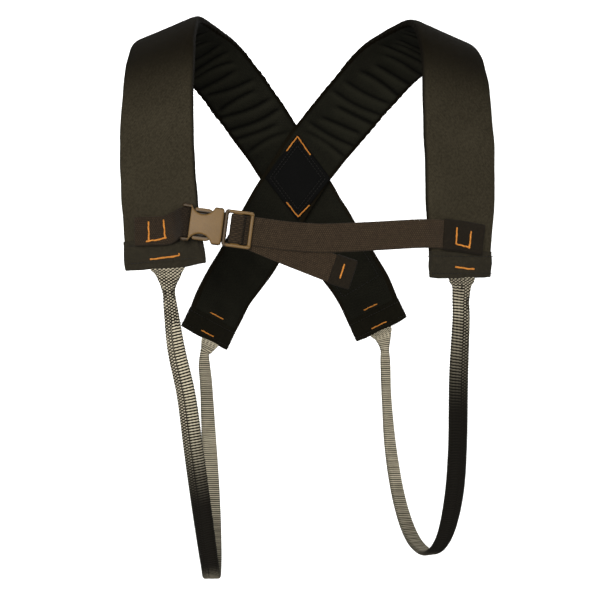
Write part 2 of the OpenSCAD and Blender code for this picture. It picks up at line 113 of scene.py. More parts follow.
LEFT_STRAP = mirrored(
    [
        [-134.8, -104, -215.5, 0.93, -0.34, 0.18, 31.4],
        [-134.8, -105, -175, 0.94, -0.33, 0.06, 34.2],
        [-135.2, -102, -132, 0.95, -0.31, 0, 35],
        [-135, -93, -90, 0.95, -0.32, 0.02, 35],
        [-136, -76, -48.5, 0.92, -0.36, 0.08, 34.6],
        [-134.5, -48, -15.8, 0.87, -0.42, 0.16, 34.2],
        [-129.3, -13, -1.2, 0.82, -0.44, 0.26, 34],
        [-114, 27, -3.6, 0.82, -0.34, 0.38, 34],
        [-90, 60, -17, 0.81, -0.22, 0.5, 34],
        [-56.8, 83, -53, 0.82, -0.1, 0.57, 33.5],
        [-19, 96.5, -98, 0.84, 0, 0.54, 33],
        [0, 97.2, -126, 0.85, 0, 0.52, 32],
        [23, 97.5, -163, 0.86, 0, 0.5, 32],
        [50.2, 95.5, -212, 0.85, -0.18, 0.47, 31.4],
        [73.8, 90, -249, 0.86, -0.34, 0.34, 30],
        [88, 84.6, -279, 0.9, -0.38, 0.24, 28.6],
    ]
)
RIGHT_LOOP = [
    [-125.2, -105, -250, 1, 0, 0, 5],
    [-123.2, -104, -268, 1, 0, 0, 7.4],
    [-118.6, -102, -303, 0.96, -0.25, 0, 8.4],
    [-110, -96, -345, 0.96, -0.3, 0, 8.8],
    [-104, -85, -395, 1, -0.1, 0, 9],
    [-97, -64, -455, 1, 0.1, 0, 9],
    [-91, -38, -508, 1, 0, 0, 8.6],
    [-89, -10, -529, 1, 0, 0, 8.6],
    [-88, 16, -509, 1, 0, 0, 8.2],
    [-90, 42, -458, 0.94, 0.3, 0, 8.2],
    [-94, 66, -400, 0.86, 0.5, 0, 8.2],
    [-97, 78, -350, 0.8, 0.6, 0, 7.6],
    [-99, 83, -330, 0.9, 0.4, 0, 6.6],
    [-99, 85, -317, 1, 0, 0, 5],
]
LEFT_LOOP = [
    [137, -105, -260, 1, 0, 0, 5],
    [137.2, -105, -278, 1, 0, 0, 7.8],
    [135.6, -102, -330, 0.98, 0.2, 0, 9.2],
    [136.9, -91, -395, 0.96, 0.3, 0, 9.6],
    [137.2, -72, -444, 1, 0.2, 0, 9.4],
    [133.8, -44, -487, 0.96, 0.3, 0, 8.8],
    [125.3, -14, -508.5, 0.94, 0.35, 0, 8.2],
    [113.8, 16, -501.5, 0.94, 0.35, 0, 8.2],
    [104.6, 44, -468.5, 0.9, 0.44, 0, 8],
    [98.6, 66, -418, 0.84, 0.54, 0, 7.8],
    [96.2, 80, -365, 0.76, 0.65, 0, 7],
    [95.4, 84, -328, 0.9, 0.4, 0, 6],
    [95, 86, -312, 1, 0, 0, 5],
]
CHEST = webbing([
    [155, -108.9, -205, 0.08, 0.02, 1],
    [136, -116, -202.5, 0.08, 0.02, 1],
    [118, -122.6, -201, 0.06, 0.02, 1],
    [104, -126.6, -200.5, 0.04, 0, 1],
    [88, -127.8, -201, 0.02, 0, 1],
    [55, -128, -203, 0.02, 0, 1],
    [15, -128.1, -205, 0.02, 0, 1],
    [-5, -128.1, -204.5, 0.06, 0, 1],
    [-22, -128.1, -203.2, 0.13, 0, 1],
])
ANCHOR = webbing([
    [-154.3, -107.2, -198.8, -0.07, 0.02, 1],
    [-140, -112.3, -198.5, -0.07, 0.02, 1],
    [-125.5, -117.5, -198, -0.05, 0.02, 1],
    [-117.5, -122, -194, 0.03, 0, 1],
    [-112, -125.6, -191.5, 0.12, 0, 1],
    [-107.8, -127.3, -192, 0.13, 0, 1],
    [-106, -128.1, -192.2, 0.13, 0, 1],
    [-105.2, -129.8, -192.3, 0.13, 0, 1],
    [-106, -131.5, -192.2, 0.13, 0, 1],
    [-107.8, -132.3, -192, 0.13, 0, 1],
    [-112, -130.6, -191.5, 0.12, 0, 1],
    [-118.5, -124.6, -194.5, 0.04, 0, 1],
    [-126.5, -119.3, -198, -0.05, 0.02, 1],
    [-140.7, -114.2, -198.5, -0.07, 0.02, 1],
    [-155, -109.1, -198.8, -0.07, 0.02, 1],
])

# ---- Buckle frame ----

BUCKLE_AT = np.array([-77.0, -131.0, -196.0])
BUCKLE_TILT = math.radians(7.5)


def on_buckle(points):
    """Points of the buckle's own frame, x towards the chest strap, in the row frame."""
    points = np.asarray(points, float)
    c, s = math.cos(BUCKLE_TILT), math.sin(BUCKLE_TILT)
    x, y, z = points[..., 0], points[..., 1], points[..., 2]
    return np.stack([x * c + z * s, y, z * c - x * s], -1) + BUCKLE_AT


def buckle_rows(rows):
    """Rows [x, y, z, lean of the width] of the buckle's frame as a webbing route."""
    made = []
    for x, y, z, lean in rows:
        across = on_buckle([lean, 0, 1]) - BUCKLE_AT
        made.append([*on_buckle([x, y, z]), *across])
    return webbing(made)


# ---- Ribbon geometry ----


def unit(v):
    return v / np.linalg.norm(v, axis=-1, keepdims=True)


def smooth(low, high, x):
    """0 up to low, 1 from high, and a smooth rise between."""
    t = np.clip((np.asarray(x, float) - low) / (high - low), 0, 1)
    return t * t * (3 - 2 * t)


def between(a, b, c, d, x):
    """0 up to a, 1 from b to c, and 0 again from d."""
    return smooth(a, b, x) * (1 - smooth(c, d, x))


def run_along(path):
    """The distance of each point of a path from its first."""
    return np.concatenate([[0], np.cumsum(np.linalg.norm(np.diff(path, axis=0), axis=1))])


def read_at(table, run, d):
    """Rows of a table, placed along run, at the distances d."""
    return np.stack([np.interp(d, run, table[:, i]) for i in range(table.shape[1])], -1)


def steps_of(start, end, step):
    """Evenly spaced values from start to end, about a step apart."""
    return np.linspace(start, end, max(2, int(round(abs(end - start) / step)) + 1))


def dense(path, step=0.8):
    """A path with a point about every step."""
    path = np.asarray(path, float)
    run = run_along(path)
    return read_at(path, run, steps_of(0, run[-1], step))


def spline(rows, u):
    """Rows of a smooth curve through all the given rows, at u counted in rows."""
    n = len(rows) - 1
    padded = np.vstack([2 * rows[0] - rows[1], rows, 2 * rows[n] - rows[n - 1]])
    i = np.clip(np.floor(u).astype(int), 0, n - 1)
    t = (u - i)[:, None]
    a, b, c, d = (padded[i + k] for k in range(4))
    return 0.5 * (
        2 * b
        + (c - a) * t
        + (2 * a - 5 * b + 4 * c - d) * t * t
        + (3 * b - a - 3 * c + d) * t**3
    )


class Route:
    """A ribbon's centre line, read by the distance along it. It runs straight on past its ends."""

    def __init__(self, rows):
        self.rows = np.array(rows, float)
        self.u = np.linspace(0, len(rows) - 1, 60 * len(rows))
        steps = np.diff(spline(self.rows, self.u)[:, :3], axis=0)
        self.s = np.concatenate([[0], np.cumsum(np.linalg.norm(steps, axis=1))])
        self.length = self.s[-1]

    def distance(self, u):
        return float(np.interp(u, self.u, self.s))

    def at(self, s):
        """Centre, across, travel, face and half width at each distance."""
        s = np.atleast_1d(np.asarray(s, float))
        u = np.interp(s, self.s, self.u)
        v = spline(self.rows, u)
        e = 1e-3
        travel = unit((spline(self.rows, u + e) - spline(self.rows, u - e))[:, :3])
        hint = v[:, 3:6]
        across = unit(hint - travel * np.sum(hint * travel, 1, keepdims=True))
        beyond = s - np.clip(s, 0, self.length)
        centre = v[:, :3] + travel * beyond[:, None]
        return centre, across, travel, np.cross(across, travel), v[:, 6]

    def place(self, s, x, h):
        """Points at distance s along, x across and h out of the face; s has one value per row of x and h."""
        centre, across, _, face, _ = self.at(s)
        return centre[:, None] + across[:, None] * x[..., None] + face[:, None] * h[..., None]


# ---- Meshes ----


class Part:
    """Vertices in mm, faces, and per vertex the weave coordinates in mm and a tone from 0 to 1, which scales
    the colour and carries painted shade and painted highlight on many pieces.
    """

    def __init__(self, verts, faces, weave, tone=None):
        self.verts = np.asarray(verts, float).reshape(-1, 3)
        self.faces = faces
        self.weave = np.asarray(weave, float).reshape(-1, 3)
        self.tone = np.ones(len(self.verts)) if tone is None else np.asarray(tone, float).ravel()


def joined(parts):
    verts, faces, offset = [], [], 0
    for part in parts:
        verts.append(part.verts)
        faces += [[i + offset for i in face] for face in part.faces]
        offset += len(part.verts)
    return Part(
        np.vstack(verts),
        faces,
        np.vstack([p.weave for p in parts]),
        np.concatenate([p.tone for p in parts]),
    )


def tube(points, weave, tone=None):
    """A closed skin over rings of points, shaped (rings, around, 3), with a face over each end."""
    rings, around = points.shape[:2]
    i = np.arange(around)
    k = (i + 1) % around
    base = np.arange(rings - 1)[:, None] * around
    quads = np.stack([base + i, base + k, base + around + k, base + around + i], -1)
    faces = quads.reshape(-1, 4).tolist()
    faces.append(list(range(around))[::-1])
    faces.append(list(range((rings - 1) * around, rings * around)))
    return Part(points, faces, weave, tone)


def laid(route, s, x, h, tone=None, weave_depth=1):
    """A tube laid along a route, with its weave measured along it, round it and out of its face."""
    weave = np.stack([np.broadcast_to(s[:, None], x.shape), perimeter(x, h), weave_depth * h], -1)
    return tube(route.place(s, x, h), weave, tone)


def piece(name, part, body, material, nodes=()):
    data = bpy.data.meshes.new(name)
    data.from_pydata((part.verts * MM).tolist(), [], part.faces)
    data.attributes.new("weave", "FLOAT_VECTOR", "POINT").data.foreach_set(
        "vector", (part.weave * MM).astype(np.float32).ravel()
    )
    data.attributes.new("tone", "FLOAT", "POINT").data.foreach_set(
        "value", part.tone.astype(np.float32)
    )
    data.polygons.foreach_set("use_smooth", [True] * len(data.polygons))
    shell = bmesh.new()
    shell.from_mesh(data)
    bmesh.ops.recalc_face_normals(shell, faces=shell.faces)
    shell.to_mesh(data)
    shell.free()
    data.materials.append(material)
    made = bpy.data.objects.new(name, data)
    bpy.context.scene.collection.objects.link(made)
    if nodes:
        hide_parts(*nodes)
    if isinstance(body, str):
        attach(made, body)
    else:
        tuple(body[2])
        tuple(body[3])
        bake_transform(made)
    return made


def threads(name, parts, body, node):
    piece(name, joined(parts), body, THREAD, [node])


def ripple(x, y, scale, seed):
    """A smooth bumpy field from about -1 to 1, the same each run."""
    source = np.random.default_rng(seed)
    total = np.zeros(np.broadcast(x, y).shape)
    for _ in range(7):
        angle, phase = source.uniform(0, 2 * math.pi, 2)
        size = scale * source.uniform(0.6, 1.7)
        total = total + np.sin((x * math.cos(angle) + y * math.sin(angle)) * 2 * math.pi / size + phase)
    return total / 3.5


def perimeter(x, h):
    """Distance round each ring from its first point."""
    steps = np.hypot(np.diff(x, axis=-1), np.diff(h, axis=-1))
    return np.concatenate([np.zeros(x.shape[:-1] + (1,)), np.cumsum(steps, -1)], -1)


def band_section(flat, turn):
    """Unit section of a flat band: x from -1 to 1 at its rim and h from -1 to 1, with round edges."""
    edge = np.linspace(-math.pi / 2, math.pi / 2, turn + 2)[1:-1]
    x = np.linspace(-1, 1, flat)
    top = np.stack([x, np.ones(flat), np.zeros(flat)])
    right = np.stack([np.ones(turn), -np.sin(edge), np.cos(edge)])
    bottom = np.stack([-x, -np.ones(flat), np.zeros(flat)])
    left = np.stack([-np.ones(turn), np.sin(edge), -np.cos(edge)])
    return np.concatenate([top, right, bottom, left], 1)


def band(route, s, half, low, high, flat=17, turn=5, lift=None, soft_ends=1.2, shade=None):
    """A flat band along a route between two heights; lift(s, x) moves its face and shade(s, x) scales its
    colour, as painted shade and painted highlight.
    """
    side, level, bulge = band_section(flat, turn)
    s = np.asarray(s, float)
    half = np.broadcast_to(half, s.shape)
    thick = (high - low) / 2
    if soft_ends:
        near = np.minimum(s - s[0], s[-1] - s)
        round_off = np.sqrt(np.clip(1 - (1 - np.clip(near / soft_ends, 0, 1)) ** 2, 0.04, 1))
    else:
        round_off = np.ones_like(s)
    t = thick * round_off[:, None]
    x = side * (half[:, None] - thick) + bulge * t
    h = (low + high) / 2 + level * t
    if lift is not None:
        h = h + lift(s[:, None], x)
    return laid(route, s, x, h, None if shade is None else shade(s[:, None], x))


THREAD_FLATNESS = 0.8


def capsule(p, q, radius, up):
    """A short stitch from p to q that dips into the cloth at both ends."""
    p, q, up = (np.asarray(v, float) for v in (p, q, up))
    travel = unit(q - p)
    side = unit(np.cross(travel, up))
    up = np.cross(side, travel)
    t = np.linspace(0, 1, 7)
    swell = np.sqrt(np.clip(1 - (2 * t - 1) ** 4, 0.05, 1))
    dip = -radius * 0.9 * (2 * t - 1) ** 4
    a = np.linspace(0, 2 * math.pi, 8, endpoint=False)
    centre = p + (q - p) * t[:, None] + up * dip[:, None]
    rings = (
        centre[:, None]
        + side * (radius * swell[:, None] * np.cos(a))[..., None]
        + up * (radius * THREAD_FLATNESS * swell[:, None] * np.sin(a))[..., None]
    )
    weave = np.stack(np.broadcast_arrays(t[:, None] * np.linalg.norm(q - p), a * radius, 0.0), -1)
    return tube(rings, weave)


def stitch_row(points, normals, pitch, length, radius):
    """Stitches along a line of points."""
    points, normals = np.asarray(points, float), np.asarray(normals, float)
    run = run_along(points)
    made = []
    for start in np.arange(0.4, run[-1] - length, pitch):
        a, b = read_at(points, run, start), read_at(points, run, start + length)
        made.append(capsule(a, b, radius, read_at(normals, run, start + length / 2)))
    return made


SATIN_PITCH = 0.85


def bar_tack(path, normals, width, height, seed):
    """A bar of satin stitches along a path: ridges that run across it, a little uneven."""
    path, normals = np.asarray(path, float), np.asarray(normals, float)
    run = run_along(path)
    d = steps_of(0, run[-1], 0.16)
    centre, up = read_at(path, run, d), unit(read_at(normals, run, d))
    travel = unit(np.gradient(centre, axis=0))
    side = unit(np.cross(travel, up))
    stitches = np.abs(np.sin(math.pi * d / SATIN_PITCH))
    wander = ripple(d, 0 * d, 7, seed) * 0.22
    swell = 1 + 0.16 * ripple(d, 0 * d, 5, seed + 1)
    ends = np.sqrt(np.clip(1 - (1 - np.clip(np.minimum(d, run[-1] - d) / 0.7, 0, 1)) ** 2, 0.05, 1))
    half = width / 2 * swell * ends * (0.8 + 0.2 * stitches)
    rise = height * swell * ends * (0.62 + 0.38 * stitches)
    a = np.linspace(0, 2 * math.pi, 12, endpoint=False)
    across = half[:, None] * np.cos(a) + wander[:, None]
    out = rise[:, None] * np.sin(a)
    rings = centre[:, None] + side[:, None] * across[..., None] + up[:, None] * out[..., None]
    weave = np.stack(np.broadcast_arrays(d[:, None] + across * 0.35, across, out), -1)
    return tube(rings, weave, np.broadcast_to(stitches[:, None], across.shape))


# ---- Moulded pieces: closed meshes over distance fields ----


def net(field, low, high, step):
    """The surface where field(x, y, z) is zero, as quads, in the field's own frame."""
    axes = [np.arange(low[i], high[i] + step, step) for i in range(3)]
    x, y, z = np.meshgrid(*axes, indexing="ij")
    value = field(x, y, z)
    shape = np.array(value.shape)
    inside = value < 0
    cells = shape - 1
    total = np.zeros((*cells, 3))
    count = np.zeros(cells)
    crossings = []
    for a in range(3):
        head = [slice(None)] * 3
        tail = [slice(None)] * 3
        head[a], tail[a] = slice(0, -1), slice(1, None)
        f0, f1 = value[tuple(head)], value[tuple(tail)]
        index = np.argwhere(inside[tuple(head)] != inside[tuple(tail)])
        v0, v1 = f0[tuple(index.T)], f1[tuple(index.T)]
        point = index.astype(float)
        point[:, a] += v0 / (v0 - v1)
        b, c = (a + 1) % 3, (a + 2) % 3
        around = []
        for db, dc in ((0, 0), (-1, 0), (-1, -1), (0, -1)):
            cell = index.copy()
            cell[:, b] += db
            cell[:, c] += dc
            around.append(cell)
            ok = np.all((cell >= 0) & (cell < cells), 1)
            np.add.at(total, tuple(cell[ok].T), point[ok])
            np.add.at(count, tuple(cell[ok].T), 1)
        crossings.append((around, v0 < 0))
    number = -np.ones(cells, int)
    used = count > 0
    number[used] = np.arange(used.sum())
    verts = total[used] / count[used][:, None] * step + np.array(low)
    faces = []
    for around, rising in crossings:
        quads = np.stack([number[tuple(cell.T)] for cell in around], 1)
        quads[~rising] = quads[~rising][:, ::-1]
        faces.append(quads)
    return verts, np.vstack(faces).tolist()


def blend_max(a, b, k):
    """The larger of two fields, with the edge between them rounded over k."""
    h = np.clip(0.5 + 0.5 * (a - b) / k, 0, 1)
    return b + (a - b) * h + k * h * (1 - h)


def blend_min(a, b, k):
    """The smaller of two fields, with the edge between them rounded over k."""
    return -blend_max(-a, -b, k)


def box2(x, z, x0, x1, z0, z1, r):
    """Distance to a rectangle with round corners."""
    qx = np.abs(x - (x0 + x1) / 2) - (x1 - x0) / 2 + r
    qz = np.abs(z - (z0 + z1) / 2) - (z1 - z0) / 2 + r
    outside = np.hypot(np.maximum(qx, 0), np.maximum(qz, 0))
    return outside + np.minimum(np.maximum(qx, qz), 0) - r


def circle2(x, z, cx, cz, r):
    return np.hypot(x - cx, z - cz) - r


def segment2(x, z, p, q, r):
    """Distance to a thick line from p to q."""
    dx, dz = q[0] - p[0], q[1] - p[1]
    t = np.clip(((x - p[0]) * dx + (z - p[1]) * dz) / (dx * dx + dz * dz), 0, 1)
    return np.hypot(x - p[0] - t * dx, z - p[1] - t * dz) - r


NET_STEP = 0.34


def moulded(field, low, high, shade):
    """A part of the buckle from its distance field, in the buckle's own frame."""
    verts, faces = net(field, low, high, NET_STEP)
    return Part(on_buckle(verts), faces, verts, shade(*verts.T))


# ---- Materials ----


class Nodes:
    """Short names for building a material's nodes."""

    def __init__(self, name, roughness, **sockets):
        self.material = bpy.data.materials.new(name)
        self.material.use_nodes = True
        self.tree = self.material.node_tree
        self.shader = self.tree.nodes["Principled BSDF"]
        self.shader.inputs["Roughness"].default_value = roughness
        for socket, value in sockets.items():
            self.shader.inputs[socket.replace("_", " ")].default_value = value

    def add(self, kind, **settings):
        node = self.tree.nodes.new(kind)
        for key, value in settings.items():
            setattr(node, key, value)
        return node

    def put(self, value, socket):
        if isinstance(value, bpy.types.NodeSocket):
            self.tree.links.new(value, socket)
        else:
            socket.default_value = value

    def math(self, operation, a, b=0.0, c=0.0):
        node = self.add("ShaderNodeMath", operation=operation)
        for i, value in enumerate((a, b, c)):
            self.put(value, node.inputs[i])
        return node.outputs[0]

    def times(self, a, b):
        return self.math("MULTIPLY", a, b)

    def weave(self):
        """How far a point lies along its piece, across it and out of its face."""
        return self.add("ShaderNodeAttribute", attribute_name="weave").outputs["Vector"]

    def tone(self):
        return self.add("ShaderNodeAttribute", attribute_name="tone").outputs["Fac"]

    def split(self, vector):
        node = self.add("ShaderNodeSeparateXYZ")
        self.put(vector, node.inputs[0])
        return node.outputs

    def noise(self, vector, scale, detail=3.0, roughness=0.55):
        node = self.add("ShaderNodeTexNoise")
        self.put(vector, node.inputs["Vector"])
        node.inputs["Scale"].default_value = scale
        node.inputs["Detail"].default_value = detail
        node.inputs["Roughness"].default_value = roughness
        return node.outputs["Fac"]

    def spread(self, value, low, high):
        """A value from 0 to 1 spread between low and high."""
        return self.math("MULTIPLY_ADD", value, high - low, low)

    def mix(self, factor, a, b):
        node = self.add("ShaderNodeMix", data_type="RGBA")
        self.put(factor, node.inputs["Factor"])
        for value, socket in ((a, node.inputs[6]), (b, node.inputs[7])):
            self.put((*value, 1.0) if isinstance(value, tuple) else value, socket)
        return node.outputs[2]

    def wave(self, value, pitch, shift=0.0):
        """1 on each ridge and 0 between, one ridge per pitch."""
        angle = self.math("MULTIPLY_ADD", value, math.pi / pitch, shift)
        return self.math("ABSOLUTE", self.math("SINE", angle))

    def bump(self, height, distance, strength=1.0):
        node = self.add("ShaderNodeBump")
        node.inputs["Distance"].default_value = distance
        node.inputs["Strength"].default_value = strength
        self.put(height, node.inputs["Height"])
        self.tree.links.new(node.outputs[0], self.shader.inputs["Normal"])

    def colour(self, value):
        self.put(value, self.shader.inputs["Base Color"])

    def roughness(self, value):
        self.put(value, self.shader.inputs["Roughness"])


def woven(name, dark, light, along, across, depth, sheen=0.0, shine=0.08, roughness=0.8, patches=0.35):
    """Plain-woven cloth whose threads follow the piece."""
    n = Nodes(name, roughness, Sheen_Weight=sheen, Sheen_Roughness=0.5, Specular_IOR_Level=shine)
    weave = n.weave()
    u, v, _ = n.split(weave)
    turn = n.math("PINGPONG", n.math("FLOOR", n.math("DIVIDE", v, across)), 1.0)
    shift = n.times(turn, math.pi / 2)
    angle = n.math("ADD", n.times(u, math.pi / along), shift)
    over = n.math("ABSOLUTE", n.math("SINE", angle))
    column = n.wave(v, across)
    thread = n.times(over, n.math("POWER", column, 0.6))
    blotch = n.noise(weave, 22, 4)
    grain = n.noise(weave, 520, 3, 0.7)
    wear = n.times(n.spread(blotch, 1 - patches, 1 + patches), n.spread(grain, 0.1, 1.9))
    tone = n.times(n.spread(thread, 0.3, 0.8), wear)
    # The tone attribute brings in the pieces' painted shade and painted highlight.
    tone = n.times(tone, n.tone())
    n.colour(n.mix(tone, dark, light))
    n.roughness(n.spread(grain, roughness - 0.12, roughness + 0.12))
    n.bump(n.math("ADD", thread, n.times(grain, 0.35)), depth)
    return n.material


WEB_LOOK = {"sheen": 0.03, "shine": 0.1, "roughness": 0.7, "patches": 0.15}
COVER = woven(
    "cover_cloth", (0.005, 0.0038, 0.0018), (0.058, 0.05, 0.033), 0.0013, 0.001, 0.0004, shine=0.03
)
CAP = woven(
    "cap_cloth", (0.006, 0.005, 0.003), (0.044, 0.038, 0.025), 0.0012, 0.001, 0.0004, sheen=0.02
)
DARK_CAP = woven(
    "dark_cap_cloth", (0.0012, 0.0011, 0.0005), (0.014, 0.0125, 0.007), 0.0014, 0.0011, 0.0004
)
LINING = woven("lining_mesh", (0.0008, 0.0008, 0.0004), (0.015, 0.0148, 0.0095), 0.002, 0.0015, 0.0004)
PATCH = woven("patch_cloth", (0.002, 0.002, 0.0022), (0.0065, 0.0068, 0.0066), 0.0013, 0.001, 0.0004)
FOLD = woven(
    "fold_cloth", (0.004, 0.003, 0.0018), (0.024, 0.0185, 0.012), 0.0014, 0.0011, 0.0004, sheen=0.02
)
WEB = woven(
    "chest_webbing", (0.004, 0.0026, 0.0014), (0.066, 0.045, 0.027), 0.0018, 0.0017, 0.0006, **WEB_LOOK
)
LADDER = woven(
    "ribbed_webbing", (0.003, 0.002, 0.001), (0.05, 0.034, 0.02), 0.006, 0.0017, 0.0008, **WEB_LOOK
)
BLACK_THREAD = woven(
    "black_thread", (0.002, 0.002, 0.002), (0.012, 0.011, 0.009), 0.0006, 0.0004, 0.0002,
    sheen=0.05, shine=0.2, roughness=0.5,
)


def thread_material():
    n = Nodes("orange_thread", 0.6, Sheen_Weight=0.1, Sheen_Roughness=0.4, Specular_IOR_Level=0.3)
    weave = n.weave()
    u, v, _ = n.split(weave)
    ply = n.wave(n.math("ADD", u, n.times(v, 0.5)), 0.00042)
    wear_and_painted_light = n.noise(weave, 260, 3)
    ridge = n.tone()
    tone = n.times(n.spread(ridge, 0.35, 1.0), n.spread(ply, 0.6, 1.0))
    tone = n.times(tone, n.spread(wear_and_painted_light, 0.6, 1.4))
    n.colour(n.mix(tone, (0.36, 0.075, 0.006), (1.0, 0.4, 0.05)))
    n.roughness(n.spread(wear_and_painted_light, 0.4, 0.7))
    n.bump(n.math("ADD", ply, wear_and_painted_light), 0.0002)
    return n.material


def side_web_material():
    n = Nodes("side_webbing", 0.6, Sheen_Weight=0.01, Sheen_Roughness=0.4, Specular_IOR_Level=0.06)
    weave = n.weave()
    u, v, _ = n.split(weave)
    strands = n.wave(n.math("ADD", u, n.times(v, 0.35)), 0.00055)
    dirt = n.noise(weave, 55, 4)
    grain = n.noise(weave, 1300, 2)
    tone = n.tone()
    cream = n.mix(
        n.times(n.spread(dirt, 0.35, 1.3), n.spread(strands, 0.7, 1.0)),
        (0.16, 0.125, 0.075),
        (0.92, 0.85, 0.65),
    )
    black = n.mix(grain, (0.002, 0.002, 0.0015), (0.014, 0.012, 0.009))
    n.colour(n.mix(tone, black, cream))
    n.roughness(n.spread(grain, 0.45, 0.8))
    n.bump(n.math("ADD", strands, grain), 0.00022)
    return n.material


def plastic_material():
    # edge is the colour of a painted highlight along the sharp rims.
    dark, light, edge = (0.006, 0.004, 0.002), (0.195, 0.112, 0.034), (0.34, 0.22, 0.1)
    n = Nodes("buckle_plastic", 0.42, Specular_IOR_Level=0.25)
    place = n.add("ShaderNodeTexCoord").outputs["Object"]
    grain = n.noise(place, 1500, 3, 0.65)
    cloud = n.noise(place, 70, 3)
    # The tone attribute carries painted shade: lit faces keep the bronze, while the sides, hollows and ears
    # go dark.
    shade = n.tone()
    grain_mottle = n.times(n.spread(grain, 0.3, 1.1), n.spread(cloud, 0.7, 1.3))
    body = n.mix(n.times(grain_mottle, shade), dark, light)
    # Painted highlight: sharp rims on the lit faces take the edge colour.
    pointed = n.add("ShaderNodeNewGeometry").outputs["Pointiness"]
    wear_and_painted_light = n.add("ShaderNodeMapRange")
    n.put(pointed, wear_and_painted_light.inputs["Value"])
    wear_and_painted_light.inputs["From Min"].default_value = 0.52
    wear_and_painted_light.inputs["From Max"].default_value = 0.6
    rim = n.times(n.times(wear_and_painted_light.outputs[0], n.spread(grain, 0.2, 0.8)), shade)
    n.colour(n.mix(rim, body, edge))
    n.roughness(n.spread(grain, 0.3, 0.55))
    n.bump(n.math("ADD", grain, n.times(cloud, 0.5)), 0.00012)
    return n.material


THREAD = thread_material()
SIDE_WEB = side_web_material()
PLASTIC = plastic_material()

# ---- Padded straps ----


INNER_ROUND, OUTER_ROUND = 1.6, 2.6


def strap_section():
    """Unit ring round a pad, from the middle of its inner face: side, inset in mm and height in mm."""
    side, inset, level = [], [], []

    def add(s, i, h):
        side.append(s)
        inset.append(i)
        level.append(h)

    for t in np.linspace(0, 1, 9):
        add(t, 4.6 * t, 1.6)
    add(1, 4.4, 0.9)
    for i in (4.2, 3.4, 2.6):
        add(1, i, 0.0)
    for a in np.linspace(0, math.pi / 2, 5):
        add(1, INNER_ROUND - INNER_ROUND * math.sin(a), 1.5 - 1.5 * math.cos(a))
    for h in (3.2, 4.6):
        add(1, 0.0, h)
    for a in np.linspace(0, math.pi / 2, 6):
        inset_here = OUTER_ROUND - OUTER_ROUND * math.cos(a)
        add(1, inset_here, STRAP_THICK - OUTER_ROUND + OUTER_ROUND * math.sin(a))
    for t in np.linspace(1, 0, 15)[1:-1]:
        add(t, OUTER_ROUND * t, STRAP_THICK)
    half = len(side)
    for i in range(half - 1, 0, -1):
        add(-side[i], inset[i], level[i])
    return np.array(side), np.array(inset), np.array(level)


def shoulder_share(route, s):
    """How far each distance lies on the bend over the shoulder, from 0 to 1."""
    return between(*(route.distance(row) for row in (4.6, 6, 8.8, 10)), s)


def strap_cover(name, route, body_nodes, seed):
    side, inset, level = strap_section()
    s = steps_of(-10, route.length + 10, 2.4)
    half = route.at(s)[4][:, None]
    x = side * (half - inset)
    h = np.broadcast_to(level, x.shape).copy()
    outer = smooth(3.0, STRAP_THICK - 1, h)
    edge = smooth(0.72, 1, np.abs(x) / half)
    h += outer * (0.35 * ripple(s[:, None], x, 55, seed) - 0.9 * edge**2 + 0.25)
    bend = shoulder_share(route, s)[:, None]
    pucker = np.sin(2 * math.pi * s[:, None] / 8.5 + np.sign(x) * 0.8)
    h += bend * edge * (1 - outer) * 0.7 * pucker
    x = x + bend * (1 - outer) * edge * np.sign(x) * 0.5 * pucker
    x = x + edge * np.sign(x) * 0.35 * ripple(s[:, None], 0 * x, 40, seed + 1)
    # Painted shade: the cover is darker over the top of the shoulder, and darker on the pad's sides and
    # inner face than on its outer face.
    wear_and_painted_light = between(*(route.distance(row) for row in (2.8, 4.5, 9.5, 11)), s)
    tone = (0.22 + 0.98 * smooth(2.2, STRAP_THICK - 0.4, h)) * (1 - 0.85 * wear_and_painted_light[:, None])
    made = piece(name, laid(route, s, x, h, tone), "harness", COVER, body_nodes)


def creases(s, x, starts, seed, side, width):
    """Valleys of cloth that bunches inside a bend, each with its own place, tilt and length."""
    source = np.random.default_rng(seed)
    total = np.zeros(x.shape)
    for start in starts:
        tilt = side * source.uniform(0.12, 0.36)
        middle = -side * source.uniform(2, 14)
        reach = source.uniform(25, 39)
        depth = source.uniform(0.65, 1.0)
        bow = source.uniform(-2.5, 2.5)
        off = s - start - tilt * x - bow * np.cos(x / 13)
        window = 1 - smooth(reach * 0.55, reach, np.abs(x - middle))
        total = total + window * depth * np.exp(-np.abs(off) / width)
    return total


FOLDS_FROM, FOLDS_TO = 5.2, 9.9  # the rows between which a lining bunches up


def strap_lining(name, route, node, seed, side):
    s = steps_of(-8, route.length + 8, 1.15)
    half = route.at(s)[4]
    source = np.random.default_rng(seed)
    start, end = route.distance(FOLDS_FROM), route.distance(FOLDS_TO)
    places, at = [], start
    while at < end:
        places.append(at)
        at += source.uniform(11.5, 17)

    def near(s):
        return between(start - 12, start + 25, end - 20, end + 12, s)

    def rim(x):
        return smooth(0.8, 1.0, np.abs(x) / half[:, None])

    def lift(s, x):
        swell = -1.4 * near(s) * (1 - rim(x))
        fold = 2.6 * creases(s, x, places, seed, side, 1.7) * near(s) * (1 - 0.6 * rim(x))
        quiet = 0.18 * ripple(s, x, 26, seed + 3) * (1 - rim(x))
        return swell + fold + quiet + rim(x) * 0.9

    # Painted shade in the valleys of the creases, a painted highlight just above each, and painted shade
    # towards the rims.
    def shade(s, x):
        valley = np.clip(1.9 * creases(s, x, places, seed, side, 1.7), 0, 1)
        ridge = np.clip(1.5 * creases(s - 5, x, places, seed, side, 2.2), 0, 1)
        crest = 1.1 + near(s) * (1.5 * ridge - 1.15 * valley)
        return np.clip(crest, 0, 2.6) * (1 - 0.5 * rim(x)) * (1 - 0.12 * ripple(s, x, 30, seed + 6))

    part = band(route, s, half - 3.1, -0.35, 0.85, flat=41, turn=3, lift=lift, soft_ends=0, shade=shade)
    return piece(name, part, "harness", LINING, [node])


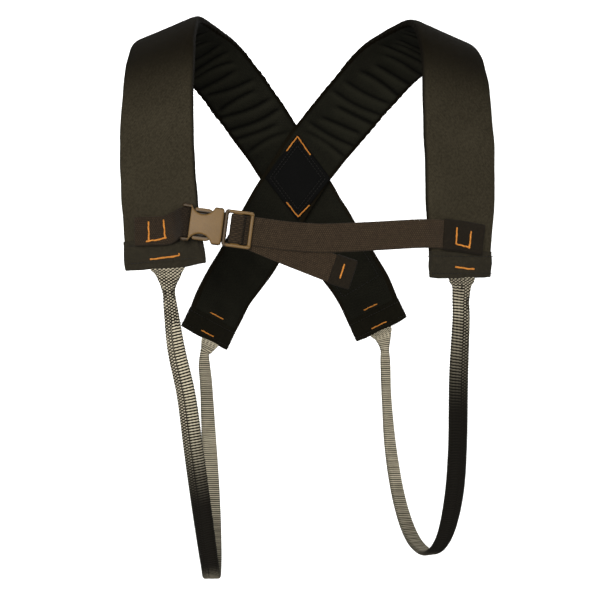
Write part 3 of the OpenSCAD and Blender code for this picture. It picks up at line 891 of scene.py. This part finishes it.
ROUTES = {"right": Route(RIGHT_STRAP), "left": Route(LEFT_STRAP)}
for side_name, seed, side in (("right", 21, 1), ("left", 31, -1)):
    route = ROUTES[side_name]
    base = f"{side_name}_strap"
    strap_cover(f"{base}_padding", route, [f"{base}_cover", f"{base}_foam"], seed)
    strap_lining(f"{base}_inner_face", route, f"{base}_lining", seed + 4, side)

# ---- End caps ----


class EndFrame:
    """Where a cap begins: x across, y off the strap's end and z away from the body, in mm."""

    def __init__(self, route, at_back):
        s = route.length if at_back else 0
        centre, across, travel, face, half = (v[0] for v in route.at(s))
        turn = 1 if at_back else -1
        self.centre, self.across, self.travel = centre, across * turn, travel * turn
        self.face, self.half = face, half

    def place(self, x, y, z):
        x, y, z = (v[..., None] for v in np.broadcast_arrays(*(np.asarray(v, float) for v in (x, y, z))))
        return self.centre + self.across * x + self.travel * y + self.face * z


END_FRAMES = {
    f"{side}_{where}": EndFrame(ROUTES[side], where == "back")
    for where in ("front", "back")
    for side in ("right", "left")
}
PAD_MIDDLE = STRAP_THICK / 2


CAP_RINGS = 64
CAP_PROFILE = [  # distance along, half thickness, extra half width
    (2.2, 4.0, 0.2), (0.9, 4.1, 0.4), (0.1, 4.5, 0.9), (-0.3, 4.8, 1.1), (0.5, 5.0, 1.2),
    (2.2, 4.95, 1.2), (3.2, 4.75, 1.1), (5, 5.0, 1.3), (8, 5.1, 1.5), (10.5, 4.8, 1.8),
    (12.5, 4.0, 2.1), (14.5, 3.3, 2.4), (16.5, 3.0, 2.5), (18.2, 2.7, 2.5), (19, 2.5, 2.5),
    (20, 2.8, 2.5), (21.8, 2.7, 2.4), (22.9, 2.2, 2.2), (23.5, 1.3, 1.8), (23.65, 0.3, 1.3),
]


def end_cap(key, end, seed, droop, stretch, spare):
    """A folded sleeve over a strap's end: open above, pinched to a hem below."""
    side, level, bulge = band_section(31, 7)
    profile = np.array(CAP_PROFILE)
    y, thick, wide = read_at(profile, np.linspace(0, 1, len(profile)), np.linspace(0, 1, CAP_RINGS)).T
    wide = spare * wide
    x = side * (end.half + wide[:, None] - thick[:, None] * 0.6) + bulge * thick[:, None] * 0.6
    z = PAD_MIDDLE + level * thick[:, None]
    low = smooth(8, 22, y)[:, None]
    corner = droop * smooth(20, 36, np.abs(x)) * low
    outside = smooth(0.3, 1.2, y)[:, None]
    z = z + outside * np.sign(level) * 0.4 * ripple(x, y[:, None], 17, seed)
    z = z + low * 0.5 * ripple(x, 0 * x, 60, seed + 1)
    y = (y + stretch * smooth(6, 20, y))[:, None] - corner + low * 0.5 * ripple(x, 0 * x, 34, seed + 2)
    weave = np.stack([y, perimeter(x, z), z], -1)
    part = tube(end.place(x, y, z), weave)
    cloth = CAP if "front" in key else DARK_CAP
    return piece(f"{key}_sleeve", part, "harness", cloth, [f"{key}_cap"])


CAPS = {  # droop of the corners, extra length, share of the extra width
    "right_front": (1.2, 2.6, 1),
    "left_front": (1.2, 0, 0.3),
    "right_back": (0.8, 0, 0.3),
    "left_back": (0.8, 0, 0.3),
}
for index, (key, looks) in enumerate(CAPS.items()):
    end_cap(key, END_FRAMES[key], 41 + 5 * index, *looks)

# ---- Side webbing: one tube of webbing per side, from cap to cap ----


FLARES = {  # how far the webbing leaves each cap from its middle, and half its width there
    "right_front": (-2.3, 17.4),
    "left_front": (-1.5, 13.6),
    "right_back": (-1.5, 12.8),
    "left_back": (8.0, 10.2),
}


def web_rows(key, toward):
    """Rows inside a cap and at its hem, flat and wide, with the width turned to agree with the loop's."""
    end = END_FRAMES[key]
    shift, half = FLARES[key]
    flip = np.sign(end.across @ np.array(toward))
    rows = []
    for y, share in ((15, 1), (CAP_LEN - 1, 1), (CAP_LEN + 3, 0.96), (CAP_LEN + 9, 0.7)):
        centre = end.place(shift, y, PAD_MIDDLE)
        rows.append([*centre, *(end.across * flip), half * share])
    return rows


def side_route(front, back, loop):
    """The whole route of one side's webbing, and which of its rows are the two necks."""
    top = web_rows(front, loop[0][3:6])
    foot = web_rows(back, loop[-1][3:6])
    first, last = np.array(loop[0][:3]), np.array(loop[-1][:3])
    for rows, neck in ((top, first), (foot, last)):
        hem = np.array(rows[1][:3])
        reach = np.linalg.norm(neck - hem)
        for row in rows[2:]:
            t = min(0.8, np.linalg.norm(np.array(row[:3]) - hem) / reach)
            on_line = hem + (neck - hem) * t
            row[:3] = list(np.array(row[:3]) * (1 - t) + on_line * t)
    return Route([*top, *loop, *foot[::-1]]), len(top), len(top) + len(loop) - 1


FOLDED_THICK, FLARE_THICK, GATHER = 2.15, 1.2, 1.4  # half thicknesses
BEAD_WIDTH = 2.1
GROOVE_AT = 0.16


class SideWeb:
    """One side's webbing. Each value is a column with one row for each step along the route."""

    def __init__(self, front, back, rows):
        self.route, first, last = side_route(front, back, rows)
        self.top, self.foot = self.route.distance(first), self.route.distance(last)
        self.s = steps_of(0, self.route.length, 0.45)[:, None]
        self.half = self.route.at(self.s[:, 0])[4][:, None]
        above = 1 - smooth(self.top - 24, self.top - 2, self.s)
        self.flat = np.maximum(above, smooth(self.foot + 2, self.foot + 24, self.s))
        self.down = np.clip((self.s - self.top) / (self.foot - self.top), 0, 1)
        self.back_leg = smooth(0.5, 0.56, self.down)
        self.front_fold = (1 - self.back_leg) * (1 - self.flat)

    def thick(self):
        """Half the thickness: least in the flares and most at the necks."""
        at_neck = np.exp(-(((self.s - self.top) / 9) ** 2)) + np.exp(-(((self.s - self.foot) / 8) ** 2))
        hidden = 1 - smooth(8, 12, np.minimum(self.s, self.route.length - self.s))
        return FOLDED_THICK * (1 - self.flat) + FLARE_THICK * self.flat + GATHER * at_neck - 0.4 * hidden

    def ridges(self, x, share, bead_side, open_weave):
        """Slanted bars across the fold; beads in staggered columns over its edge and the flares."""
        pitch = 2.7 - 0.6 * self.back_leg - 0.35 * self.flat
        phase = np.vstack([[[0]], np.cumsum(np.diff(self.s, axis=0) / pitch[1:], axis=0)])
        bars = np.cos(2 * math.pi * (phase - 0.05 * x * bead_side * self.front_fold))
        column = np.floor(x / BEAD_WIDTH)
        across = np.abs(np.sin(math.pi * x / BEAD_WIDTH)) ** 0.6
        beads = np.cos(2 * math.pi * (phase + 0.5 * (column % 2))) * across - (1 - across) * 0.5
        beaded = np.clip(smooth(0.12, 0.2, share) * (1 - self.back_leg) + open_weave, 0, 1)
        return bars * (1 - beaded) + beads * beaded

    def tone(self, x, share, ridge, groove, low_shade_span):
        """Cream on the ridges, black between them; painted shade in the groove, towards the bottom of the
        front leg, on the back leg near the bottom of the loop and along the edges of the fold.
        """
        cream = -0.2 + 0.38 * self.back_leg + 0.2 * self.flat
        tone = smooth(-0.22, 0.22, ridge + cream + 0.1 * ripple(self.s, x, 60, 5) - 0.9 * groove)
        # Painted shade: darker towards the bottom of the front leg and low on the back leg.
        low_shade = smooth(*low_shade_span, self.down) * (1 - self.back_leg)
        back_leg_shade = self.back_leg * (1 - smooth(0.54, 0.8, self.down))
        fade = (1 - 0.995 * low_shade - 0.6 * back_leg_shade) * (1 - 0.15 * self.back_leg)
        rim = smooth(0.8, 1, np.abs(share))
        return tone * fade * (1 - 0.45 * rim * (1 - self.flat))


def turning_stretch(loop):
    """Two points, in metres, 5 mm above and 9 mm below the loop's front neck."""
    neck, foot = (np.array(loop[row][:3], float) for row in (0, -1))
    axis = unit(foot - neck)
    low = unit(np.array([0, 0, -1.0]) + axis * axis[2])
    return (neck - low * 5) * MM, (neck + low * 9) * MM


def side_webbing(name, front, back, loop, halves, body, nodes, bead_side, low_shade_span, open_for):
    """halves are the half widths of the loop's first rows as seen, with its fold a little turned."""
    web = SideWeb(front, back, [[*row[:6], half] for row, half in zip(loop, halves)] + loop[len(halves):])
    side, level, bulge = band_section(30, 5)
    thick = web.thick()
    x = side * (web.half - thick) + bulge * thick
    share = x / web.half * bead_side
    opens = web.top + open_for
    open_weave = np.maximum(web.flat, 1 - smooth(opens, opens + 33, web.s))
    ridge = web.ridges(x, share, bead_side, open_weave)
    groove = 0.4 * np.exp(-(((share - GROOVE_AT) / 0.06) ** 2)) * web.front_fold * (1 - open_weave)
    tone = web.tone(x, share, ridge, groove, low_shade_span)
    lift = 0.36 * ridge
    x = x + np.sign(side) * bulge * lift * 0.7
    h = level * thick + level * (lift - 0.6 * groove)
    part = laid(web.route, web.s[:, 0], x, h, tone, weave_depth=0)
    return piece(name, part, ("harness", body, *turning_stretch(loop)), SIDE_WEB, nodes)


side_webbing(
    "right_side_webbing", "right_front", "left_back", RIGHT_LOOP, (6, 6.4, 8.3, 9), "right_loop",
    ["right_side_loop", "right_front_web_end", "right_back_web_end"], -1, (0.16, 0.38), 12,
)
side_webbing(
    "left_side_webbing", "left_front", "right_back", LEFT_LOOP, (7.8, 8), "left_loop",
    ["left_side_loop", "left_front_web_end", "left_back_web_end"], 1, (-0.1, 0.2), -33,
)

# ---- Cross patch ----

PATCH_Y = 93.8
PATCH_CORNERS = np.array([[1.0, -79], [37, -127], [1, -173], [-34, -127]])
PATCH_SIDE = 60
PATCH_SEAMS = (0.075, 0.135)  # how far in from its edge the patch is sewn, as a share of a side
PATCH_BACK = PATCH_Y + 1.6
PATCH_FLAT = PATCH_Y + 1.2  # the face before it swells


def patch_point(u, v):
    """A point of the diamond in x and z; u and v run from 0 to 1 along its sides."""
    a, b, c, d = PATCH_CORNERS
    u, v = np.asarray(u)[..., None], np.asarray(v)[..., None]
    return a * (1 - u) * (1 - v) + b * u * (1 - v) + c * u * v + d * (1 - u) * v


def patch_height(u, v):
    """How far the patch stands out towards the front of its plane."""
    edge = np.minimum(np.minimum(u, 1 - u), np.minimum(v, 1 - v))
    seam = sum(np.exp(-(((edge - inset) / 0.02) ** 2)) for inset in PATCH_SEAMS)
    puff = 1.5 * smooth(0.0, 0.035, edge) + 0.9 * smooth(0.12, 0.5, edge)
    return puff - 0.55 * seam + 0.25 * ripple(u * PATCH_SIDE, v * PATCH_SIDE, 22, 77)


def cross_patch():
    n = 61
    u, v = np.meshgrid(np.linspace(0, 1, n), np.linspace(0, 1, n), indexing="ij")
    flat = patch_point(u, v)
    front = np.stack([flat[..., 0], PATCH_FLAT - patch_height(u, v), flat[..., 1]], -1)
    back = np.stack([flat[..., 0], np.full_like(u, PATCH_BACK), flat[..., 1]], -1)
    rows = np.concatenate([front, back[:, ::-1]], 1)
    weave = np.concatenate([np.stack([u * PATCH_SIDE, v * PATCH_SIDE, 0 * u], -1)] * 2, 1)
    piece("diamond_patch", tube(rows, weave), "harness", PATCH, ["cross_patch"])


def on_patch(points, rise):
    """Points given in x and z, laid on the patch's face."""
    a, b, _, d = PATCH_CORNERS
    basis = np.stack([b - a, d - a], 1)
    uv = (np.asarray(points, float) - a) @ np.linalg.inv(basis).T
    u, v = np.clip(uv[:, 0], 0, 1), np.clip(uv[:, 1], 0, 1)
    y = PATCH_FLAT - patch_height(u, v) - rise
    return np.stack([np.array(points)[:, 0], y, np.array(points)[:, 1]], -1)


def facing_front(line):
    return np.tile([0.0, -1, 0], (len(line), 1))


cross_patch()
black_stitches = []
for inset in PATCH_SEAMS:
    for (u0, v0), (u1, v1) in (((0, 0), (1, 0)), ((1, 0), (1, 1)), ((1, 1), (0, 1)), ((0, 1), (0, 0))):
        t = np.linspace(0, 1, 40)
        u = np.clip(u0 + (u1 - u0) * t, inset, 1 - inset)
        v = np.clip(v0 + (v1 - v0) * t, inset, 1 - inset)
        line = on_patch(patch_point(u, v), 0.25)
        line = line[np.concatenate([[True], np.diff(run_along(line)) > 1e-4])]
        black_stitches += stitch_row(line, facing_front(line), 3.3, 2.4, 0.45)

CROSS_TACKS = [
    [[-11, -98], [1, -82], [15, -102]],
    [[-11, -153], [1.5, -169], [14, -156]],
]
tack_parts = []
for index, path in enumerate(CROSS_TACKS):
    line = on_patch(dense(path), 0.1)
    tack_parts.append(bar_tack(line, facing_front(line), 1.5, 0.75, 60 + 3 * index))
threads("cross_tack_threads", tack_parts, "harness", "cross_tacks")

# ---- Hem tacks and stitches on the caps ----


CAP_FACE = [  # distance along a cap, half thickness
    (-1, 3.9), (0, 4.9), (8, 5.1), (10.5, 4.8), (12.5, 4.0), (14.5, 3.3), (18.2, 2.7), (22, 2.7),
]


def face_height(y, outward):
    """Height of a cap's face, a little proud of it."""
    return PAD_MIDDLE + outward * (np.interp(y, *np.transpose(CAP_FACE)) + 0.35)


def cap_line(end, path, outward):
    flat = dense(path)
    z = face_height(flat[:, 1], outward)
    line = end.place(flat[:, 0], flat[:, 1], z)
    return line, np.tile(end.face * outward, (len(line), 1))


HEM_TACKS = {
    "front": [
        ("right_front", [[12.5, 17.3], [-15.5, 16.5]]),
        ("right_front", [[-15.5, 16.5], [-15.9, 13.9]]),
        ("left_front", [[8, 13.8], [-12.5, 15.8]]),
    ],
    "back": [
        ("right_back", [[-9, 17.6], [10, 17.6]]),
        ("left_back", [[-8, 17.6], [8, 17.6]]),
        ("right_back", [[-8, -4.2], [9, -4]]),
        ("left_back", [[-8, -3.6], [9, -3.8]]),
    ],
}
seed = 100
for (where, tacks), outward, width in zip(HEM_TACKS.items(), (1, -1), (1.6, 1.3)):
    parts = []
    for key, path in tacks:
        line, normals = cap_line(END_FRAMES[key], path, outward)
        parts.append(bar_tack(line, normals, width, 0.9, seed))
        seed += 4
    threads(f"{where}_hem_threads", parts, "harness", f"{where}_hem_tacks")

SEAM_HALF = 32
for end in END_FRAMES.values():
    for outward in (-1, 1):
        for y in (4.2, 19.6):
            line, normals = cap_line(end, [[-SEAM_HALF, y], [SEAM_HALF, y]], outward)
            black_stitches += stitch_row(line - normals * 0.15, normals, 3.2, 2.3, 0.32)

# ---- Stitched box on the right strap's inner face ----


def lining_line(route, path):
    """A path of [distance, across] on a strap's inner face, with normals towards the body."""
    flat = dense(path)
    centre, across, _, face, _ = route.at(flat[:, 0])
    return centre + across * flat[:, 1:2] - face * 0.55, -face


BOX_LENGTH, BOX_HALF = 55, 23
box_end = ROUTES["right"].length - 29
box_start = box_end - BOX_LENGTH
box = [[box_start, BOX_HALF], [box_end, BOX_HALF], [box_end, -BOX_HALF], [box_start, -BOX_HALF]]
line, normals = lining_line(ROUTES["right"], box)
black_stitches += stitch_row(line, normals, 3.6, 2.6, 0.5)
piece("black_stitching", joined(black_stitches), "harness", BLACK_THREAD)

# ---- Chest webbing ----

STRAP_LAYER = 2.9
BIGHT = [[x, STRAP_LAYER] for x in (46, 38, 30, 24, 21, 19.1)]
BIGHT += [[18.4, 2], [17.6, 0], [16.7, -1.9], [15, -2.7], [12, -2.9], [9, -2.7]]
BIGHT += [[7.4, -1.9], [6.9, 0], [6.9, 3.2]]
BIGHT_ROWS = buckle_rows([[x, y, 0, 0] for x, y in BIGHT])
TAIL_ROWS = buckle_rows([
    [6.9, 2.2, 0, 0],
    [7.4, 3.9, 0, 0],
    [9.5, 4.75, 0, 0.03],
    [14, 4.8, -0.6, 0.1],
    [26, 4.8, -3.8, 0.24],
    [50, 4.9, -10.3, 0.26],
    [75, 5.1, -16.6, 0.25],
    [100, 5.4, -22.6, 0.22],
    [117, 5.6, -25.8, 0.2],
])
CHEST_ROUTE = Route([*CHEST, *BIGHT_ROWS])
TAIL_ROUTE = Route(TAIL_ROWS)
ANCHOR_ROUTE = Route(ANCHOR)
anchor_bar = ANCHOR_ROUTE.distance(7)
HALF_THICK = WEB_THICK / 2


def web_band(route, start, end, step, **looks):
    """Plain webbing along a route from start to end."""
    return band(route, steps_of(start, end, step), WEB_HALF, -HALF_THICK, HALF_THICK, **looks)


def web_lift(amount, seed):
    """Slack in a webbing and the ribs along its edges."""

    def lift(s, x):
        rim = np.exp(-(((np.abs(x) - WEB_HALF + 1.4) / 0.9) ** 2))
        return amount * ripple(s, x, 45, seed) + 0.12 * rim

    return lift


start, end = on_buckle([84, STRAP_LAYER, 0]) * MM, on_buckle([28, STRAP_LAYER, 0]) * MM
LADDER_ROUTE = Route(BIGHT_ROWS[3:])
chest_end = CHEST_ROUTE.distance(len(CHEST) + 2.9)
piece(
    "chest_webbing",
    web_band(
        CHEST_ROUTE, 1, chest_end, 0.7,
        lift=lambda s, x: web_lift(0.35, 3)(s, x) * (1 - smooth(chest_end - 40, chest_end - 15, s)),
    ),
    ("harness", "male_half", start, end),
    WEB, ["chest_strap", "chest_strap_slack"],
)
piece(
    "ladder_webbing", web_band(LADDER_ROUTE, 0, LADDER_ROUTE.length, 0.5),
    "male_half", LADDER, ["ladder_web"],
)
piece(
    "tail_webbing", web_band(TAIL_ROUTE, 0, TAIL_ROUTE.length, 0.7, lift=web_lift(0.25, 5)),
    ("male_half", "tail", on_buckle([8, 4.8, 0]) * MM, on_buckle([24, 4.8, -3]) * MM),
    WEB, ["strap_tail"],
)
piece(
    "anchor_webbing",
    web_band(
        ANCHOR_ROUTE, 0, ANCHOR_ROUTE.length, 0.5,
        lift=lambda s, x: 0.3 * ripple(s, x, 24, 9) * smooth(60, 72, s),
        shade=lambda s, x: 0.35 + 0.35 * smooth(anchor_bar + 12, anchor_bar + 26, s) + 0 * x,
    ),
    "harness", WEB, ["right_anchor_web"],
)


def fold_lift(seed):
    return lambda s, x: 0.3 * ripple(s, x, 14, seed)


piece(
    "tail_fold",
    band(
        TAIL_ROUTE, steps_of(TAIL_ROUTE.length - 18, TAIL_ROUTE.length + 1.8, 0.5),
        WEB_HALF + 0.9, -2.4, 2.4, lift=fold_lift(12),
    ),
    "tail", FOLD, ["tail_stop"],
)
PATCH_LIFT = HALF_THICK + 0.1
piece(
    "anchor_patch",
    band(
        CHEST_ROUTE, steps_of(-1.5, CHEST_ROUTE.distance(2.05), 0.5), WEB_HALF + 1.3, PATCH_LIFT - 1.6,
        PATCH_LIFT + 1.3, lift=fold_lift(14),
    ),
    "harness", FOLD, ["left_anchor_patch"],
)


def route_tack(route, at, path, height, seed, outward=1):
    """A bar tack on a route's face; path is in [across, along] from the distance given."""
    flat = dense(path)
    centre, across, _, face, _ = route.at(at + flat[:, 1])
    line = centre + across * flat[:, :1] + face * height * outward
    return bar_tack(line, face * outward, 1.5, 0.85, seed)


u_right, u_left = ANCHOR_ROUTE.distance(13), CHEST_ROUTE.distance(1)
threads(
    "right_u_threads",
    [
        route_tack(ANCHOR_ROUTE, u_right, [[8.5, 1], [-8.5, 1]], 1.0, 201),
        route_tack(ANCHOR_ROUTE, u_right, [[9.5, -14], [-7.5, -14]], 1.0, 205),
        route_tack(ANCHOR_ROUTE, u_right, [[-9.3, 4], [-8, -6], [-6.5, -15]], 1.0, 209),
    ],
    "harness", "right_anchor_tacks",
)
threads(
    "left_u_threads",
    [
        route_tack(CHEST_ROUTE, u_left, [[7.5, 7.5], [-8, 7.5]], PATCH_LIFT + 1.35, 221),
        route_tack(CHEST_ROUTE, u_left, [[6, -7], [-10, -7]], PATCH_LIFT + 1.35, 225),
        route_tack(CHEST_ROUTE, u_left, [[-7.5, 7], [-9, -8]], PATCH_LIFT + 1.2, 229),
    ],
    "harness", "left_anchor_tacks",
)
tail_end = TAIL_ROUTE.length - 9
threads(
    "tail_thread", [route_tack(TAIL_ROUTE, tail_end, [[-6.5, 0], [7, 0]], 2.5, 241, outward=-1)],
    "tail", "tail_tack",
)

# ---- Buckle ----


def female_field(x, y, z):
    outline = box2(x, z, -34, 0, -16.2, 16.2, 2.6)
    for sign, reach in ((-1, -32.4), (1, -34)):
        outline = blend_min(outline, circle2(x, z, reach, sign * 13.9, 2.9), 1.2)
        outline = blend_max(outline, -circle2(x, z, -18.3, sign * 18.8, 10.2), 0.9)
    crown = 5.45 - 0.8 * (z / 16) ** 2 - 0.5 * ((x + 15) / 17) ** 2
    shell = blend_max(outline, np.abs(y) - crown, 1.7)
    inner = np.maximum(np.abs(y) - 2.8, np.abs(z) - 13.6)
    shell = blend_max(shell, -np.maximum(inner, -(x + 28)), 0.5)
    web_gap = np.maximum(np.abs(z) - 13.3, x + 28.6)
    shell = blend_max(shell, -web_gap, 0.8)
    back_gap = np.maximum(np.maximum(np.abs(z) - 13.3, x + 26), -(y + 2.8))
    shell = blend_max(shell, -back_gap, 0.6)
    bar = np.maximum(np.hypot(x + 31, y - 1.2) - 1.3, np.abs(z) - 14)
    return blend_min(shell, bar, 0.5)


def male_field(x, y, z):
    plate = box2(x, z, 0.6, 26, -16.2, 16.2, 2.8)
    for x0, x1 in ((3.9, 8.2), (15.8, 22.6)):
        plate = blend_max(plate, -box2(x, z, x0, x1, -13.2, 13.2, 1.2), 0.7)
    rail = np.maximum(smooth(12.6, 14.2, np.abs(z)), 1 - smooth(2.6, 4, x))
    outer = smooth(21.5, 24, x)
    body = blend_max(plate, np.abs(y) - (1.75 + 0.75 * rail + 0.45 * outer), 1.3)
    guide = np.maximum(np.abs(z) - (3.3 + 0.09 * x), np.abs(y) - 1.4)
    guide = blend_max(guide, np.maximum(-(x + 19.5), x - 1.4), 0.8)
    neck = np.maximum(box2(x, z, -1.6, 3.4, -12.9, 12.9, 0.8), np.abs(y) - 1.3)
    return blend_min(blend_min(body, guide, 0.6), neck, 0.4)


def latch_field(x, y, z):
    arm = blend_min(
        segment2(x, z, (-1.6, 10.5), (-11, 10.9), 1.7),
        segment2(x, z, (-13.5, 12.1), (-23.5, 12.1), 2.0),
        2.2,
    )
    for at in np.arange(-23.4, -13, 1.7):
        arm = blend_max(arm, -circle2(x, z, at, 14.45, 0.55), 0.3)
    arm = blend_max(arm, np.abs(y) - 2.2, 0.9)
    web = np.maximum(box2(x, z, -26, -9, 7.4, 12, 1.0), np.abs(y) - 1.0)
    return blend_min(arm, web, 0.5)


def female_shade(x, y, z):
    """Painted shade: light on the two plates, dark on the sides, in the hollow and on the ears."""
    plate = smooth(3.2, 4.7, np.abs(y)) * (1 - 0.8 * smooth(14.8, 16.2, np.abs(z)))
    return 0.1 + 0.9 * plate * (1 - 0.75 * smooth(28, 30, -x))


def male_shade(x, y, z):
    """Painted shade: light on the frame's face, dark on its sides, its neck and its guide."""
    return (0.12 + 0.88 * smooth(1.3, 2.2, np.abs(y))) * (0.3 + 0.7 * smooth(3.5, 5.5, x))


def latch_shade(x, y, z):
    """Painted shade: light only on the grips at the arm's outer edge, dark elsewhere."""
    return 0.05 + 0.75 * smooth(10.9, 11.9, np.abs(z)) * smooth(0.8, 1.7, np.abs(y))


piece(
    "buckle_socket", moulded(female_field, (-38, -6.6, -18), (1, 6.6, 18), female_shade),
    "harness", PLASTIC, ["buckle_female"],
)
piece(
    "buckle_plug", moulded(male_field, (-20.6, -3.9, -17.3), (27, 3.9, 17.3), male_shade),
    "male_half", PLASTIC, ["buckle_male"],
)
for name, body, sign, node in (
    ("latch_arm_top", "latch_upper", 1, "latch_arm_upper"),
    ("latch_arm_bottom", "latch_lower", -1, "latch_arm_lower"),
):
    arm = moulded(
        lambda x, y, z: latch_field(x, y, sign * z), (-28, -3, -15.4), (1, 3, 15.4), latch_shade
    )
    piece(name, arm, body, PLASTIC, [node])

# ---- Stage and lights ----


def stage():
    """A pale floor that curves up into a pale wall well behind."""
    cove_at, cove = 2.2, 1.2
    turns = np.linspace(0.1, math.pi / 2, 14)
    profile = [(y, 0.0) for y in np.linspace(-6, cove_at, 12)]
    profile += [(cove_at + cove * math.sin(a), cove - cove * math.cos(a)) for a in turns]
    profile += [(3.4, z) for z in np.linspace(1.5, 6, 6)]
    verts = [(x, y, z - 0.78) for y, z in profile for x in (-7, 7)]
    faces = [[2 * i, 2 * i + 1, 2 * i + 3, 2 * i + 2] for i in range(len(profile) - 1)]
    data = bpy.data.meshes.new("floor")
    data.from_pydata(verts, [], faces)
    data.polygons.foreach_set("use_smooth", [True] * len(data.polygons))
    n = Nodes("floor_paper", 0.9)
    place = n.add("ShaderNodeTexCoord").outputs["Object"]
    n.colour(n.mix(n.noise(place, 3, 3), (0.9, 0.9, 0.895), (0.93, 0.93, 0.925)))
    data.materials.append(n.material)
    floor = bpy.data.objects.new("floor", data)
    floor.visible_diffuse = False
    floor.visible_glossy = False
    bpy.context.scene.collection.objects.link(floor)


def area_light(name, place, target, size, power, colour=(1, 1, 1)):
    data = bpy.data.lights.new(name, "AREA")
    data.shape = "SQUARE"
    data.size = size
    data.energy = power
    data.color = colour
    light = bpy.data.objects.new(name, data)
    light.location = place
    light.rotation_euler = (Vector(target) - Vector(place)).to_track_quat("-Z", "Y").to_euler()
    bpy.context.scene.collection.objects.link(light)


def lights():
    world = bpy.data.worlds.new("studio")
    world.use_nodes = True
    world.node_tree.nodes["Background"].inputs["Color"].default_value = (1, 1, 1, 1)
    world.node_tree.nodes["Background"].inputs["Strength"].default_value = 0.3
    bpy.context.scene.world = world
    area_light("key", (-0.5, -2.1, 0.0), (0, 0, -0.25), 1.0, 40, (1, 0.96, 0.9))
    area_light("fill", (1.1, -1.7, -0.35), (0, 0, -0.25), 1.0, 9, (1, 0.96, 0.9))
    area_light("rear", (0.9, 1.9, 0.5), (0, 0, -0.2), 1.0, 10)
    area_light("back_wash", (0, 1.7, 1.9), (0, 3.4, 0.0), 2.5, 140)
    bpy.context.scene.view_settings.view_transform = "Standard"


stage()
lights()
